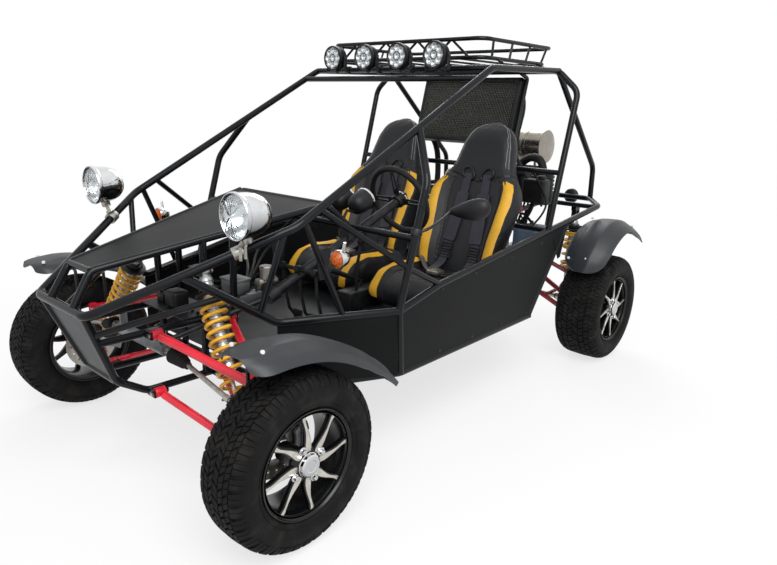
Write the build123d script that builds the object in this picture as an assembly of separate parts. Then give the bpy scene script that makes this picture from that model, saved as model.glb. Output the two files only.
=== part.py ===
"""Dune buggy: tube frame, two seats, four wheels, steering.

mm, +X ahead, +Y to the left, +Z up, z 0 on the ground.
"""

import os
from math import cos, radians, sin

from build123d import *

# Driving dimensions
WHEELBASE = 2370
FRONT_TRACK, REAR_TRACK = 1555, 1550
TYRE_R, RIM_R = 311, 174
FRONT_TYRE_W, REAR_TYRE_W = 205, 255
NOSE_REACH = 395  # front of the nose bar ahead of the front axle
MAIN_R, SIDE_R, LIGHT_R = 16, 14, 12  # tube radii: cage, rails, braces
BODY_Y = 700  # door rails, posts and hoop legs from the middle
FLOOR_Z = 385  # centre of the lower rails
SEAT_Y = 320  # middle of each seat
KINGPIN_Y = FRONT_TRACK / 2 - 147.5
REAR_BALL_Y = REAR_TRACK / 2 - 160  # outer ends of the rear arms
KNUCKLE_LOW, KNUCKLE_TOP = TYRE_R - 66, TYRE_R + 164
STEER_MAX, SWING_GAP = 25, 8  # steering lock in degrees, room left between a turned fender and the panels
BALL_GAP = 3  # between a knuckle and the arms' ball joints
TAB_T, EYE_R, EYE_L = 5, 19, 44  # arm brackets and the eyes they hold
FIT = 0.3  # between curved faces that only lie against each other

# Axle and cabin stations, with the whole length centred on x 0
MID = (TYRE_R - NOSE_REACH) / 2
FX = MID + WHEELBASE / 2
RX = FX - WHEELBASE
COWL = FX - 605  # rear end of the hood

parts = {}


def save(node, *solids):
    """Keeps solids under a node's name, flattening compounds."""
    found = parts.setdefault(node, [])
    for s in solids:
        found.extend(s.solids())


def rod(points, r, bend=80, closed=False):
    """Round bar along straight runs with arcs at the bends."""
    pts = [Vector(*p) for p in points]
    path = Line(*pts) if len(pts) == 2 else FilletPolyline(*pts, radius=bend, close=closed)
    return sweep(Plane(origin=path @ 0, z_dir=path % 0) * Circle(r), path=path).solid()


def cope(solid, *others):
    """Notches a bar's ends round the bars it meets and keeps the bar itself."""
    for other in others:
        solid = solid - other
    return max(solid.solids(), key=lambda s: s.volume)


def flip(shape):
    return mirror(shape, about=Plane.XZ)


def other(p):
    return (p[0], -p[1], p[2])


def along(a, b, x):
    """Point at station x on the line from a to b."""
    t = (x - a[0]) / (b[0] - a[0])
    return tuple(i + (j - i) * t for i, j in zip(a, b))


def up(a, b, z):
    """Point at height z on the line from a to b."""
    t = (z - a[2]) / (b[2] - a[2])
    return tuple(i + (j - i) * t for i, j in zip(a, b))


def part_way(a, b, t):
    return tuple(i + (j - i) * t for i, j in zip(a, b))


def drum(a, b, r):
    """Cylinder from a to b."""
    a, b = Vector(*a), Vector(*b)
    return Solid.make_cylinder(r, (b - a).length, Plane(origin=a, z_dir=b - a))


def block(x0, x1, y0, y1, z0, z1):
    return Pos((x0 + x1) / 2, (y0 + y1) / 2, (z0 + z1) / 2) * Box(abs(x1 - x0), abs(y1 - y0), abs(z1 - z0))


def sheet(points, thick, way):
    """Flat plate on corner points, thickened along way."""
    face = Face(Wire.make_polygon([Vector(*p) for p in points]))
    return extrude(face, amount=thick, dir=Vector(*way).normalized())


def bracket(eye, back_y, half, r=19):
    """U bracket round an eye that lies along X, with its web at back_y."""
    x, y, z = eye
    far = half + FIT + TAB_T
    shape = block(x - far, x + far, back_y, y - r - 2, z - 14, z + 14)
    for s in (1, -1):
        shape = shape + block(x + s * (half + FIT), x + s * far, back_y, y + 14, z - 14, z + 14)
    return shape


# Frame corners, left side
NOSE = (FX + NOSE_REACH - MAIN_R, 188, 740)
COWL_NODE = (FX - 215, 563, 1022)
JOINT = part_way(COWL_NODE, NOSE, 0.12)
ROOF_FRONT = (MID - 180, 580, 1613)
HOOP_TOP = (MID - 815, 580, 1632)
HOOP_SHOULDER = (MID - 815, BODY_Y, 1530)
SILL_FRONT = (MID + 565, BODY_Y, 655)
SILL_BEND = (MID + 302, BODY_Y, 715)
SILL_REAR = (RX - 49, BODY_Y, 893)
TAIL = (RX - 239, 560, 905)
HOOP_FOOT = along(SILL_BEND, SILL_REAR, MID - 628)
POST_FOOT = (MID + 548, BODY_Y, FLOOR_Z)
POST_BEND = (MID + 418, BODY_Y, 1153)
POST_TOP = along(COWL_NODE, ROOF_FRONT, MID + 323)
FRONT_BEND = (FX - 188, 475, 655)
FRONT_TOP = along(COWL_NODE, NOSE, FX + 115)
HOOD_FOOT = (NOSE[0], 90, 740)
HOOD_FRONT = (FX + 301, 83, 865)
HOOD_REAR = (COWL, 300, 1030)
BULKHEAD_X = FX - 200
KEEL = [(BULKHEAD_X, 150, FLOOR_Z), (FX + 165, 150, 395), (FX + 262, 112, 450), (NOSE[0] - 3, 165, 740)]
FLOOR_REAR_X = MID - 490
DASH = up(SILL_FRONT, POST_BEND, 935)
HARNESS = up(HOOP_FOOT, HOOP_SHOULDER, 1120)
CRADLE_Y, BAY_Y = 300, 345
EYE_OUT = SIDE_R + EYE_R + 8  # pivot line outside its rail
BRIDGE_X = RX - 20

# Cage: bent tubes first, then what is notched onto them
nose_loop = rod([JOINT, NOSE, other(NOSE), other(JOINT)], MAIN_R, 50)
hoop_side = [HOOP_FOOT, HOOP_SHOULDER, HOOP_TOP]
hoop = rod([*hoop_side, *(other(p) for p in reversed(hoop_side))], MAIN_R)
side_path = [SILL_FRONT, SILL_BEND, SILL_REAR, TAIL]
side_loop = rod(side_path + [other(p) for p in reversed(side_path)], MAIN_R)
pillar = cope(rod([JOINT, COWL_NODE, ROOF_FRONT, HOOP_TOP], MAIN_R, 110), hoop)
floor_rail = rod([(FLOOR_REAR_X - SIDE_R, BODY_Y, FLOOR_Z), POST_FOOT, (FX - 188, 475, FLOOR_Z)], SIDE_R, 60)
post = cope(rod([POST_FOOT, SILL_FRONT, POST_BEND, POST_TOP], MAIN_R, 110), pillar, floor_rail)
front_rail = cope(rod([SILL_FRONT, FRONT_BEND, FRONT_TOP], MAIN_R, 90), post, nose_loop)
side_loop = cope(side_loop, post, flip(post))
hoop = cope(hoop, side_loop)
pillars, posts = [pillar, flip(pillar)], [post, flip(post)]
save("frame_hoop", hoop)
save("frame_side_loop", side_loop)
save("frame_pillars", *pillars)
save("frame_posts", *(p + r for p, r in zip(posts, (front_rail, flip(front_rail)))))

# Hood tubes and the nose loop are one weldment
hood_rail = rod([HOOD_FOOT, HOOD_FRONT, HOOD_REAR], SIDE_R, 50)
cowl_foot = (DASH[0] - 4, 330, DASH[2] - 4)
dash_bar = cope(rod([DASH, other(DASH)], SIDE_R), *posts)
cowl_bar = cope(rod([cowl_foot, HOOD_REAR, other(HOOD_REAR), other(cowl_foot)], SIDE_R, 45), dash_bar)
hood_rail = cope(hood_rail, cowl_bar)
hood_cross = rod([HOOD_FRONT, other(HOOD_FRONT)], LIGHT_R)
save("frame_nose", nose_loop + hood_rail + flip(hood_rail) + hood_cross)

# Keel: two rails under the nose with tabs for the lower arms
front_cross = rod([(BULKHEAD_X, 560, FLOOR_Z), (BULKHEAD_X, -560, FLOOR_Z)], SIDE_R)
front_cross = cope(front_cross, floor_rail, flip(floor_rail))
keel = cope(rod(KEEL, SIDE_R, 60), front_cross, nose_loop)
keel_cross = cope(rod([KEEL[2], other(KEEL[2])], LIGHT_R), keel, flip(keel))
hood_line = (HOOD_FRONT, HOOD_REAR)
tower_top, bulkhead_top = along(*hood_line, FX - 85), along(*hood_line, BULKHEAD_X)
tower = cope(rod([along(KEEL[0], KEEL[1], FX - 85), tower_top], SIDE_R), keel, hood_rail)
bulkhead = cope(rod([(BULKHEAD_X, 185, FLOOR_Z), bulkhead_top], SIDE_R), front_cross, hood_rail, keel)
ARM_Z = 620
arm_a = up(KEEL[2], KEEL[3], ARM_Z)
arm_b = up(along(KEEL[0], KEEL[1], FX - 85), tower_top, ARM_Z)
arm_c = up((BULKHEAD_X, 185, FLOOR_Z), bulkhead_top, ARM_Z)
arm_rails = [
    cope(rod([arm_a, arm_b], SIDE_R), keel, tower),
    cope(rod([arm_b, arm_c], SIDE_R), tower, bulkhead),
]
lower_nose = cope(
    rod([up(KEEL[2], KEEL[3], 655), along(FRONT_BEND, FRONT_TOP, FX - 12)], LIGHT_R),
    keel, front_rail, arm_rails[0],
)

# Rear frame: stays, engine cradle and bay
floor_rear = cope(
    rod([(FLOOR_REAR_X, BODY_Y, FLOOR_Z), (FLOOR_REAR_X, -BODY_Y, FLOOR_Z)], SIDE_R),
    floor_rail, flip(floor_rail),
)
stay = cope(rod([HOOP_TOP, (RX - 232, 560, 1101), TAIL], MAIN_R, 90), hoop, side_loop, pillar)
CRADLE = [(FLOOR_REAR_X, CRADLE_Y, FLOOR_Z), (RX - 190, CRADLE_Y, 395), (TAIL[0], CRADLE_Y, TAIL[2])]
cradle = cope(rod(CRADLE, SIDE_R), floor_rear, side_loop)
seat_bar = cope(rod([HOOP_FOOT, other(HOOP_FOOT)], SIDE_R), side_loop, hoop)
bay_rail = rod([(HOOP_FOOT[0], BAY_Y, HOOP_FOOT[2]), (TAIL[0], BAY_Y, TAIL[2])], SIDE_R)
bay_rail = cope(bay_rail, seat_bar, side_loop)
bay = cradle
bay_line = ((HOOP_FOOT[0], BAY_Y, HOOP_FOOT[2]), (TAIL[0], BAY_Y, TAIL[2]))
bay_posts = [(along(CRADLE[0], CRADLE[1], x), along(*bay_line, x)) for x in (RX + 150, RX - 150)]
bridge_end = along(SILL_BEND, SILL_REAR, BRIDGE_X)
bridge_in = (BRIDGE_X, BAY_Y, bridge_end[2])
bridge_mid = cope(rod([bridge_in, other(bridge_in)], SIDE_R), bay_rail, flip(bay_rail))
bridge = cope(rod([bridge_end, bridge_in], SIDE_R), side_loop, bay_rail)
R_SHOCK_TOP = (RX - 50, BAY_Y + 0.8 * (REAR_BALL_Y - BAY_Y), 815)
R_SHOCK_LOW = (RX - 100, REAR_BALL_Y - 95, TYRE_R + 59)
SHOCK_EYE_R, SHOCK_EYE_L = 17, 34
hanger = bridge_end[2] - 12
hang_x, hang_in, hang_out = R_SHOCK_TOP[0], R_SHOCK_TOP[1] - 15, R_SHOCK_TOP[1] + 15
bridge = bridge + block(hang_x - 22, BRIDGE_X, hang_in, hang_out, hanger - 25, hanger)
for s in (1, -1):
    near, far = SHOCK_EYE_L / 2 + FIT, SHOCK_EYE_L / 2 + FIT + TAB_T
    ear = (hang_x + s * near, hang_x + s * far, hang_in, hang_out)
    bridge = bridge + block(*ear, R_SHOCK_TOP[2] - 14, hanger)
for a, b in bay_posts:
    bay = bay + rod([a, b], SIDE_R)
bay = bay + bay_rail
rear_eye = {x: (x, CRADLE_Y + EYE_OUT, along(CRADLE[0], CRADLE[1], x)[2]) for x in (RX + 110, RX - 110)}
for eye in rear_eye.values():
    bay = bay + bracket(eye, CRADLE_Y, EYE_L / 2)
link_eye = (RX + 110, 375, 590)
bay = bay + bracket(link_eye, 312, EYE_L / 2) + block(RX + 110, RX + 150, 305, 340, 576, 604)
CRADLE_X = RX - 115
cradle_end = along(CRADLE[0], CRADLE[1], CRADLE_X)
bay_cross = cope(rod([cradle_end, other(cradle_end)], SIDE_R), bay, flip(bay))
TOW_X, TOW_T, TOW_R, TOW_EDGE = CRADLE_X - 60, 12, 11, 26
tow_at = Pos(TOW_X, 0, cradle_end[2])
tow = tow_at * Cylinder(TOW_EDGE, TOW_T)
tow = tow + block(TOW_X, CRADLE_X, -TOW_EDGE, TOW_EDGE, cradle_end[2] - TOW_T / 2, cradle_end[2] + TOW_T / 2)
tow = tow - tow_at * Cylinder(TOW_R, TOW_T * 2)
bay_cross = bay_cross + tow
harness_bar = cope(rod([HARNESS, other(HARNESS)], SIDE_R), hoop)
diagonal = cope(
    rod([(FLOOR_REAR_X, BODY_Y, FLOOR_Z), along(SILL_BEND, SILL_REAR, MID - 840)], SIDE_R),
    floor_rail, side_loop, floor_rear,
)
save("frame_rear", stay, flip(stay), bay, flip(bay))

# Braces: struts, door bars, lower nose tubes, rear diagonals
strut_front = cope(
    rod([part_way(COWL_NODE, NOSE, 0.06), along(FRONT_BEND, FRONT_TOP, FX - 130)], LIGHT_R),
    pillar, front_rail, nose_loop,
)
strut_rear = cope(
    rod([part_way(COWL_NODE, ROOF_FRONT, 0.03), along(SILL_FRONT, FRONT_BEND, FX - 415)], LIGHT_R),
    pillar, front_rail,
)
bar_mid = up(SILL_FRONT, POST_BEND, 823)
door_front = cope(rod([part_way(COWL_NODE, ROOF_FRONT, 0.09), bar_mid], LIGHT_R), pillar, post)
door_rear = cope(rod([bar_mid, SILL_BEND], LIGHT_R), post, side_loop)
braces = [strut_front, strut_rear, door_front, door_rear, lower_nose, diagonal]
save("frame_braces", *braces, *(flip(b) for b in braces))

# Straight cross bars
HEADER = along(COWL_NODE, ROOF_FRONT, MID - 84)
header = cope(rod([HEADER, other(HEADER)], SIDE_R), *pillars)
roof_bar = cope(rod([ROOF_FRONT, other(ROOF_FRONT)], SIDE_R), *pillars)
floor_bars = [
    cope(rod([(x, BODY_Y, FLOOR_Z), (x, -BODY_Y, FLOOR_Z)], SIDE_R), floor_rail, flip(floor_rail))
    for x in (MID - 330, MID + 60)
]
bridges = [bridge, bridge_mid, flip(bridge)]
cross_bars = [header, roof_bar, dash_bar, seat_bar, harness_bar, *bridges, keel_cross, bay_cross, *floor_bars]
save("frame_cross_bars", *cross_bars)
save("frame_cowl_bar", cowl_bar)

# Lower rails, with the towers and the arm rails on the keel
PIVOTS_LOW, PIVOTS_TOP = (FX + 140, FX - 140), (FX + 136, FX - 160)

keel_pieces = [
    cope(rod([along(KEEL[0], KEEL[1], FX - 85), tower_top], SIDE_R), hood_rail),
    cope(rod([(BULKHEAD_X, 185, FLOOR_Z), bulkhead_top], SIDE_R), front_cross, hood_rail),
    rod([arm_a, arm_b], SIDE_R), rod([arm_b, arm_c], SIDE_R),
]
low_eye = {x: (x, 150 + EYE_OUT, along(KEEL[0], KEEL[1], x)[2]) for x in PIVOTS_LOW}
for eye in low_eye.values():
    keel_pieces.append(bracket(eye, 150, EYE_L / 2))
top_eye = {}
for x, line in zip(PIVOTS_TOP, ((arm_a, arm_b), (arm_b, arm_c))):
    y = along(*line, x)[1]
    top_eye[x] = (x, y + EYE_OUT, ARM_Z)
    keel_pieces.append(bracket(top_eye[x], y, EYE_L / 2))
SHOCK_TOP, SHOCK_LOW = (FX - 45, 235, 830), (FX + 25, KINGPIN_Y - 70, KNUCKLE_LOW + 67)
mount = bracket(SHOCK_TOP, 170, SHOCK_EYE_L / 2, SHOCK_EYE_R)
mount = mount + block(FX - 85, FX - 45, 165, 200, SHOCK_TOP[2] - 14, SHOCK_TOP[2] + 14)
keel_low = keel.fuse(*keel_pieces, mount)
save("frame_keel", keel_low, flip(keel_low))
save("frame_floor", floor_rail + flip(floor_rail) + front_cross + floor_rear)

# Panels lie in the tubes' planes and end on them
PANEL_T = 3
floor_top = FLOOR_Z + SIDE_R + FIT
pan = [(FLOOR_REAR_X, BODY_Y - 25), (MID + 535, BODY_Y - 25), (BULKHEAD_X - 22, 470)]
outline = [(x, y, floor_top) for x, y in pan] + [(x, -y, floor_top) for x, y in reversed(pan)]
save("floor_pan", sheet(outline, PANEL_T, (0, 0, 1)))
sill_back = along(SILL_BEND, SILL_REAR, MID - 840)
rear_corners = [(FLOOR_REAR_X, FLOOR_Z), (POST_FOOT[0], FLOOR_Z)]
rear_corners += [p[::2] for p in (SILL_FRONT, SILL_BEND, sill_back)]
rear_corners = [(x, BODY_Y + 5, z) for x, z in rear_corners]
rear_panel = cope(sheet(rear_corners, PANEL_T, (0, 1, 0)), floor_rail, post, side_loop, diagonal, floor_rear)
taper = (Vector(*FRONT_BEND) - Vector(*SILL_FRONT)).cross(Vector(0, 0, 1)).normalized() * -1
front_corners = [(*SILL_FRONT[:2], FLOOR_Z), (*FRONT_BEND[:2], FLOOR_Z), FRONT_BEND, SILL_FRONT]
front_corners = [tuple(Vector(*p) + taper * 4) for p in front_corners]
front_panel = cope(sheet(front_corners, PANEL_T, tuple(taper)), floor_rail, post, front_rail, front_cross)
save("side_panels", rear_panel, front_panel, flip(rear_panel), flip(front_panel))
hood_up = Vector(*HOOD_REAR) - Vector(*HOOD_FRONT)
hood_normal = Vector(-hood_up.Z, 0, hood_up.X) * (1 if hood_up.X > 0 else -1)
corners = [HOOD_FRONT, HOOD_REAR, other(HOOD_REAR), other(HOOD_FRONT)]
corners = [tuple(Vector(*p) + hood_normal.normalized() * 6) for p in corners]
hood = cope(sheet(corners, PANEL_T, tuple(hood_normal)), hood_rail, flip(hood_rail), hood_cross, cowl_bar)
save("hood", hood)
plate = [KEEL[3], KEEL[2], other(KEEL[2]), other(KEEL[3])]
skid = cope(sheet(plate, PANEL_T, (1, 0, -0.4)), keel, flip(keel), keel_cross, nose_loop)
save("skid_plate", skid)


# Seats: base, back with a rounded head, side bolsters
def seat():
    base = fillet(block(-400, 95, -235, 235, 0, 150).edges().filter_by(Axis.Y), 50)
    back_face = make_face(
        Polyline((-250, 60), (-250, 560)) + Line((250, 60), (250, 560)) + Line((-250, 60), (250, 60))
        + Line((-250, 560), (-150, 700)) + Line((250, 560), (150, 700))
        + Line((-150, 700), (-150, 810)) + Line((150, 700), (150, 810))
        + ThreePointArc((-150, 810), (0, 905), (150, 810))
    )
    back = Pos(-390, 0, 0) * (Rot(0, -17, 0) * extrude(Plane.YZ * back_face, amount=95))
    wings = []
    for s in (1, -1):
        wing = Pos(-300, s * 215, 0) * (Rot(0, -17, 0) * Pos(50, 0, 340) * Box(120, 70, 420))
        rim = block(-350, 60, s * 215 - 35, s * 215 + 35, 100, 215)
        wings += [wing, rim]
    whole = base + back
    for w in wings:
        whole = whole + w
    return whole


SEAT_Z = floor_top + PANEL_T + FIT + 45
seat_solid = Pos(MID - 10, SEAT_Y, SEAT_Z) * seat()
for x in (MID - 330, MID + 20):
    for y in (SEAT_Y - 180, SEAT_Y + 180):
        seat_solid = seat_solid + block(x - 20, x + 20, y - 20, y + 20, floor_top + PANEL_T, SEAT_Z)
save("seats", seat_solid, flip(seat_solid))

# Steering: wheel, column, rack housing, tie rods
COLUMN_TILT, COLUMN_L = 22, 820
WHEEL_AT = (MID + 139, SEAT_Y, 1012)
axis_down = Vector(cos(radians(COLUMN_TILT)), 0, -sin(radians(COLUMN_TILT)))
wheel_plane = Plane(origin=WHEEL_AT, z_dir=axis_down, x_dir=(0, 1, 0))
rim_ring = wheel_plane * Torus(160, 14)
hub = wheel_plane * Pos(0, 0, 5) * Cylinder(34, 40)
spokes = [wheel_plane * Rot(0, 0, a) * Pos(80, 0, 4) * Box(160, 30, 8) for a in (0, 180, 90)]
wheel_solid = rim_ring + hub
for s in spokes:
    wheel_solid = wheel_solid + (s - wheel_plane * Torus(160, 13))
save("steering_wheel", wheel_solid)
col_a = Vector(*WHEEL_AT) + axis_down * (25 + FIT)
col_b = Vector(*WHEEL_AT) + axis_down * COLUMN_L
RACK = (FX + 90, 540)
pinion = (RACK[0] - 10, 150, RACK[1] + 25)
joint_a, joint_b = col_b - axis_down * 30, col_b + axis_down * 18
column = drum(tuple(col_a), tuple(col_b), 20)
column = column.fuse(drum(tuple(joint_a), tuple(joint_b), 27), drum(tuple(col_b), pinion, 11))
dash_under = block(DASH[0] - 16, DASH[0] + 16, SEAT_Y - 30, SEAT_Y + 30, DASH[2] - 60, DASH[2])
column = cope(column + dash_under, dash_bar, cowl_bar, tower, bulkhead, *arm_rails)
RACK_HALF = 165
housing = drum((RACK[0], -RACK_HALF, RACK[1]), (RACK[0], RACK_HALF, RACK[1]), 24)
housing = housing - drum((RACK[0], -RACK_HALF - 1, RACK[1]), (RACK[0], RACK_HALF + 1, RACK[1]), 13)
for s in (1, -1):
    ear = block(RACK[0] - 15, RACK[0] + 15, s * 150 - 4, s * 150 + 4, RACK[1], ARM_Z)
    housing = housing + (ear - drum((RACK[0], -200, RACK[1]), (RACK[0], 200, RACK[1]), 20))
housing = cope(housing, arm_rails[0], flip(arm_rails[0]), keel, flip(keel), column)
save("steering_column", column)
save("rack_housing", housing)
ARM_AHEAD, ARM_TOP = 105, KNUCKLE_TOP - 23
tie_end = (FX + ARM_AHEAD - 5, KINGPIN_Y - 5, ARM_TOP + 5 + 12)
tie_pieces = []
for s in (1, -1):
    inner, outer = (RACK[0], s * 235, RACK[1]), (tie_end[0], s * tie_end[1], tie_end[2])
    boot = drum((RACK[0], s * 220, RACK[1]), (RACK[0], s * 265, RACK[1]), 18)
    tie_pieces += [drum(inner, outer, 9), boot, Pos(*outer) * Cylinder(19, 24)]
ties = drum((RACK[0], -235, RACK[1]), (RACK[0], 235, RACK[1]), 12).fuse(*tie_pieces)
save("tie_rods", ties)

# Suspension arms
BALL_R, BALL_H = 20, 44
STUD_R, STUD_L = 8, 16  # ball studs that stand in the knuckle
low_ball = (FX, KINGPIN_Y, KNUCKLE_LOW - BALL_GAP - BALL_H / 2)
top_ball = (FX, KINGPIN_Y, KNUCKLE_TOP + BALL_GAP + BALL_H / 2)


def arm(ball, eyes, r):
    """A-arm: a ball joint housing and two legs with eyes along X."""
    shape = Pos(*ball) * Cylinder(BALL_R, BALL_H)
    for eye in eyes:
        leg_end = part_way(ball, eye, 0.985)
        shape = shape + drum(ball, leg_end, r)
        shape = shape + drum((eye[0] - EYE_L / 2, *eye[1:]), (eye[0] + EYE_L / 2, *eye[1:]), EYE_R)
    return shape


low_arm = arm(low_ball, low_eye.values(), LIGHT_R + 1)
for s in (1, -1):
    near, far = SHOCK_LOW[0] + s * (SHOCK_EYE_L / 2 + FIT), SHOCK_LOW[0] + s * (SHOCK_EYE_L / 2 + 8)
    cheek = (near, far, SHOCK_LOW[1] - 35, SHOCK_LOW[1] + 35)
    low_arm = low_arm + block(*cheek, SHOCK_LOW[2] - 80, SHOCK_LOW[2] + 18)
yoke = (SHOCK_LOW[0] - 26, SHOCK_LOW[0] + 26, SHOCK_LOW[1] - 35, SHOCK_LOW[1] + 35)
low_arm = low_arm + block(*yoke, SHOCK_LOW[2] - 80, SHOCK_LOW[2] - 44)
top_arm = arm(top_ball, top_eye.values(), LIGHT_R + 1)
low_arm = low_arm + drum(low_ball, (FX, KINGPIN_Y, KNUCKLE_LOW + STUD_L), STUD_R)
top_arm = top_arm + drum(top_ball, (FX, KINGPIN_Y, KNUCKLE_TOP - STUD_L), STUD_R)
front_arms = [low_arm, top_arm]
save("front_arms", *front_arms, *(flip(a) for a in front_arms))
REAR_BALL_Z = TYRE_R - 49
rear_low = drum((RX - 95, REAR_BALL_Y, REAR_BALL_Z), (RX + 95, REAR_BALL_Y, REAR_BALL_Z), EYE_R)
for s in (1, -1):
    eye = rear_eye[RX + s * 110]
    foot = (RX + s * 80, REAR_BALL_Y, REAR_BALL_Z)
    rear_low = rear_low + drum(foot, part_way(foot, eye, 0.985), LIGHT_R + 1)
    rear_low = rear_low + drum((eye[0] - 22, *eye[1:]), (eye[0] + 22, *eye[1:]), EYE_R)
for s in (1, -1):
    near, far = R_SHOCK_LOW[0] + s * (SHOCK_EYE_L / 2 + FIT), R_SHOCK_LOW[0] + s * (SHOCK_EYE_L / 2 + 8)
    yoke = (near, far, R_SHOCK_LOW[1] - 30, R_SHOCK_LOW[1] + 30)
    rear_low = rear_low + block(*yoke, R_SHOCK_LOW[2] - 80, R_SHOCK_LOW[2] + 20)
yoke = (R_SHOCK_LOW[0] - 26, R_SHOCK_LOW[0] + 26, R_SHOCK_LOW[1] - 30, R_SHOCK_LOW[1] + 30)
rear_low = rear_low + block(*yoke, R_SHOCK_LOW[2] - 85, R_SHOCK_LOW[2] - 60)
link_out = (RX + 40, REAR_BALL_Y, TYRE_R + 169)
rear_link = drum(link_eye, link_out, LIGHT_R + 1)
for e in (link_eye, link_out):
    rear_link = rear_link + drum((e[0] - 22, *e[1:]), (e[0] + 22, *e[1:]), EYE_R)
save("rear_arms", rear_low, rear_link, flip(rear_low), flip(rear_link))


# Coil-overs: a damper with two spring cups, and a spring of half turns
COIL_R, WIRE_R = 43, 7
FRONT_CUPS, REAR_CUPS = (95, 470), (80, 340)  # spring seats below a damper's top eye


def shock(top, low, start, end):
    """Damper from its top eye to its lower eye, cups at start and end below the top."""
    a, b = Vector(*top), Vector(*low)
    way = (b - a).normalized()
    length = (b - a).length
    steps = [(34, length * 0.62, 24), (0, length - 8, 10), (end + 5, length - 14, 15)]
    steps += [(start - 12, start, COIL_R + 9), (end, end + 10, COIL_R + 9)]
    half = SHOCK_EYE_L / 2
    eyes = [drum((p[0] - half, *p[1:]), (p[0] + half, *p[1:]), SHOCK_EYE_R) for p in (top, low)]
    pieces = [drum(tuple(a + way * d), tuple(a + way * e), r) for d, e, r in steps]
    return pieces[0].fuse(*pieces[1:], *eyes)


def spring(top, low, start, end, turns):
    """Coil of straight six-sided runs, ten to a turn, to keep its faces few."""
    a, b = Vector(*top), Vector(*low)
    way = (b - a).normalized()
    low_z, high_z = WIRE_R + FIT, end - start - WIRE_R - FIT
    steps = 10 * turns
    rings = []
    for i in range(steps + 1):
        plane = Plane(origin=(COIL_R, 0, low_z + (high_z - low_z) * i / steps), z_dir=(0, 1, 0))
        rings.append(Rot(0, 0, 36 * i) * (plane * RegularPolygon(WIRE_R, 6)))
    coil = loft(rings, ruled=True)
    return Plane(origin=a + way * start, z_dir=way) * coil


dampers = [shock(SHOCK_TOP, SHOCK_LOW, *FRONT_CUPS), shock(R_SHOCK_TOP, R_SHOCK_LOW, *REAR_CUPS)]
springs = [spring(SHOCK_TOP, SHOCK_LOW, *FRONT_CUPS, 9), spring(R_SHOCK_TOP, R_SHOCK_LOW, *REAR_CUPS, 7)]
save("dampers", *dampers, *(flip(d) for d in dampers))
save("springs", *springs, *(flip(s) for s in springs))

# Knuckles, fenders and rear carriers
HUB_Y = KINGPIN_Y + 41  # inner end of the front hubs
HUB_GAP, PIN_R, PIN_L = 3, 18, 60  # hubs turn on pins that stand out of knuckles and carriers


def fender(centre, r, front, rear, y0, y1):
    """Shell of a crowned strip with skirts, turned about its own centre."""
    mid, half, crown, t = (y0 + y1) / 2, (y1 - y0) / 2, 26, 4
    strip = make_face(
        ThreePointArc((-half, r - crown), (0, r), (half, r - crown))
        + Line((half, r - crown), (half, r - crown - 22))
        + Line((half, r - crown - 22), (half - t, r - crown - 22))
        + Line((half - t, r - crown - 22), (half - t, r - crown - t))
        + ThreePointArc((half - t, r - crown - t), (0, r - t), (-half + t, r - crown - t))
        + Line((-half + t, r - crown - t), (-half + t, r - crown - 22))
        + Line((-half + t, r - crown - 22), (-half, r - crown - 22))
        + Line((-half, r - crown - 22), (-half, r - crown))
    )
    face = Plane(origin=(0, 0, 0), x_dir=(0, 1, 0), z_dir=(1, 0, 0)) * strip
    shell = revolve(Rot(0, front, 0) * face, Axis.Y, -(front - rear))
    shell = Pos(centre[0], mid, centre[1]) * shell
    return shell


def swung(p):
    """Where a place meets the left knuckle's own pieces when that is turned to its lock."""
    turn = radians(STEER_MAX)
    x, y = p.X - FX, p.Y - KINGPIN_Y
    return FX + x * cos(turn) + y * sin(turn), KINGPIN_Y + y * cos(turn) - x * sin(turn)


FENDER_R, FENDER_GAP = 660, 118  # top of the front fenders above the tyres
FENDER_C = (FX + 104, 2 * TYRE_R + FENDER_GAP - FENDER_R)
front_fender = fender(FENDER_C, FENDER_R, 9.6, -53.4, KINGPIN_Y + 20, KINGPIN_Y + 260)
(ax, ay), (bx, by) = (swung(Vector(*p) + taper * (PANEL_T + SWING_GAP)) for p in front_corners[:2])
swing = [(ax, ay), (bx, by), (bx, by - 200), (ax - 200, by - 200), (ax - 200, ay)]
front_fender = front_fender - sheet([(x, y, 0) for x, y in swing], FENDER_C[1] + FENDER_R + 10, (0, 0, 1))
spindle = drum((FX, KINGPIN_Y, TYRE_R), (FX, HUB_Y - HUB_GAP, TYRE_R), 38)
knuckle = drum((FX, KINGPIN_Y, KNUCKLE_LOW), (FX, KINGPIN_Y, KNUCKLE_TOP), 22) + spindle
knuckle = knuckle + drum((FX, KINGPIN_Y, ARM_TOP - 9), (FX + ARM_AHEAD, KINGPIN_Y, ARM_TOP - 9), 9)
knuckle = knuckle + Pos(FX + ARM_AHEAD, KINGPIN_Y, ARM_TOP - 10) * Cylinder(17, 20)
for x in (FX + 62, FX - 62):
    top_z = FENDER_C[1] + (FENDER_R**2 - (x - FENDER_C[0]) ** 2) ** 0.5 - 46
    root = [(FX, KINGPIN_Y + 12, KNUCKLE_TOP - 35), (x, KINGPIN_Y + 2, KNUCKLE_TOP + 5)]
    knuckle = knuckle + rod(root + [(x, KINGPIN_Y + 2, top_z), (x, KINGPIN_Y + 215, top_z)], 7, 18)
knuckle = knuckle + drum((FX, KINGPIN_Y, TYRE_R), (FX, HUB_Y + PIN_L, TYRE_R), PIN_R)
for end, way in ((KNUCKLE_LOW, 1), (KNUCKLE_TOP, -1)):
    bore = [(FX, KINGPIN_Y, end - way), (FX, KINGPIN_Y, end + way * (STUD_L + 2))]
    knuckle = knuckle - drum(*bore, STUD_R + FIT)
knuckle = cope(knuckle, front_fender)
save("knuckle_left", knuckle)
save("knuckle_right", flip(knuckle))
save("fender_front_left", front_fender)
save("fender_front_right", flip(front_fender))
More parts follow.
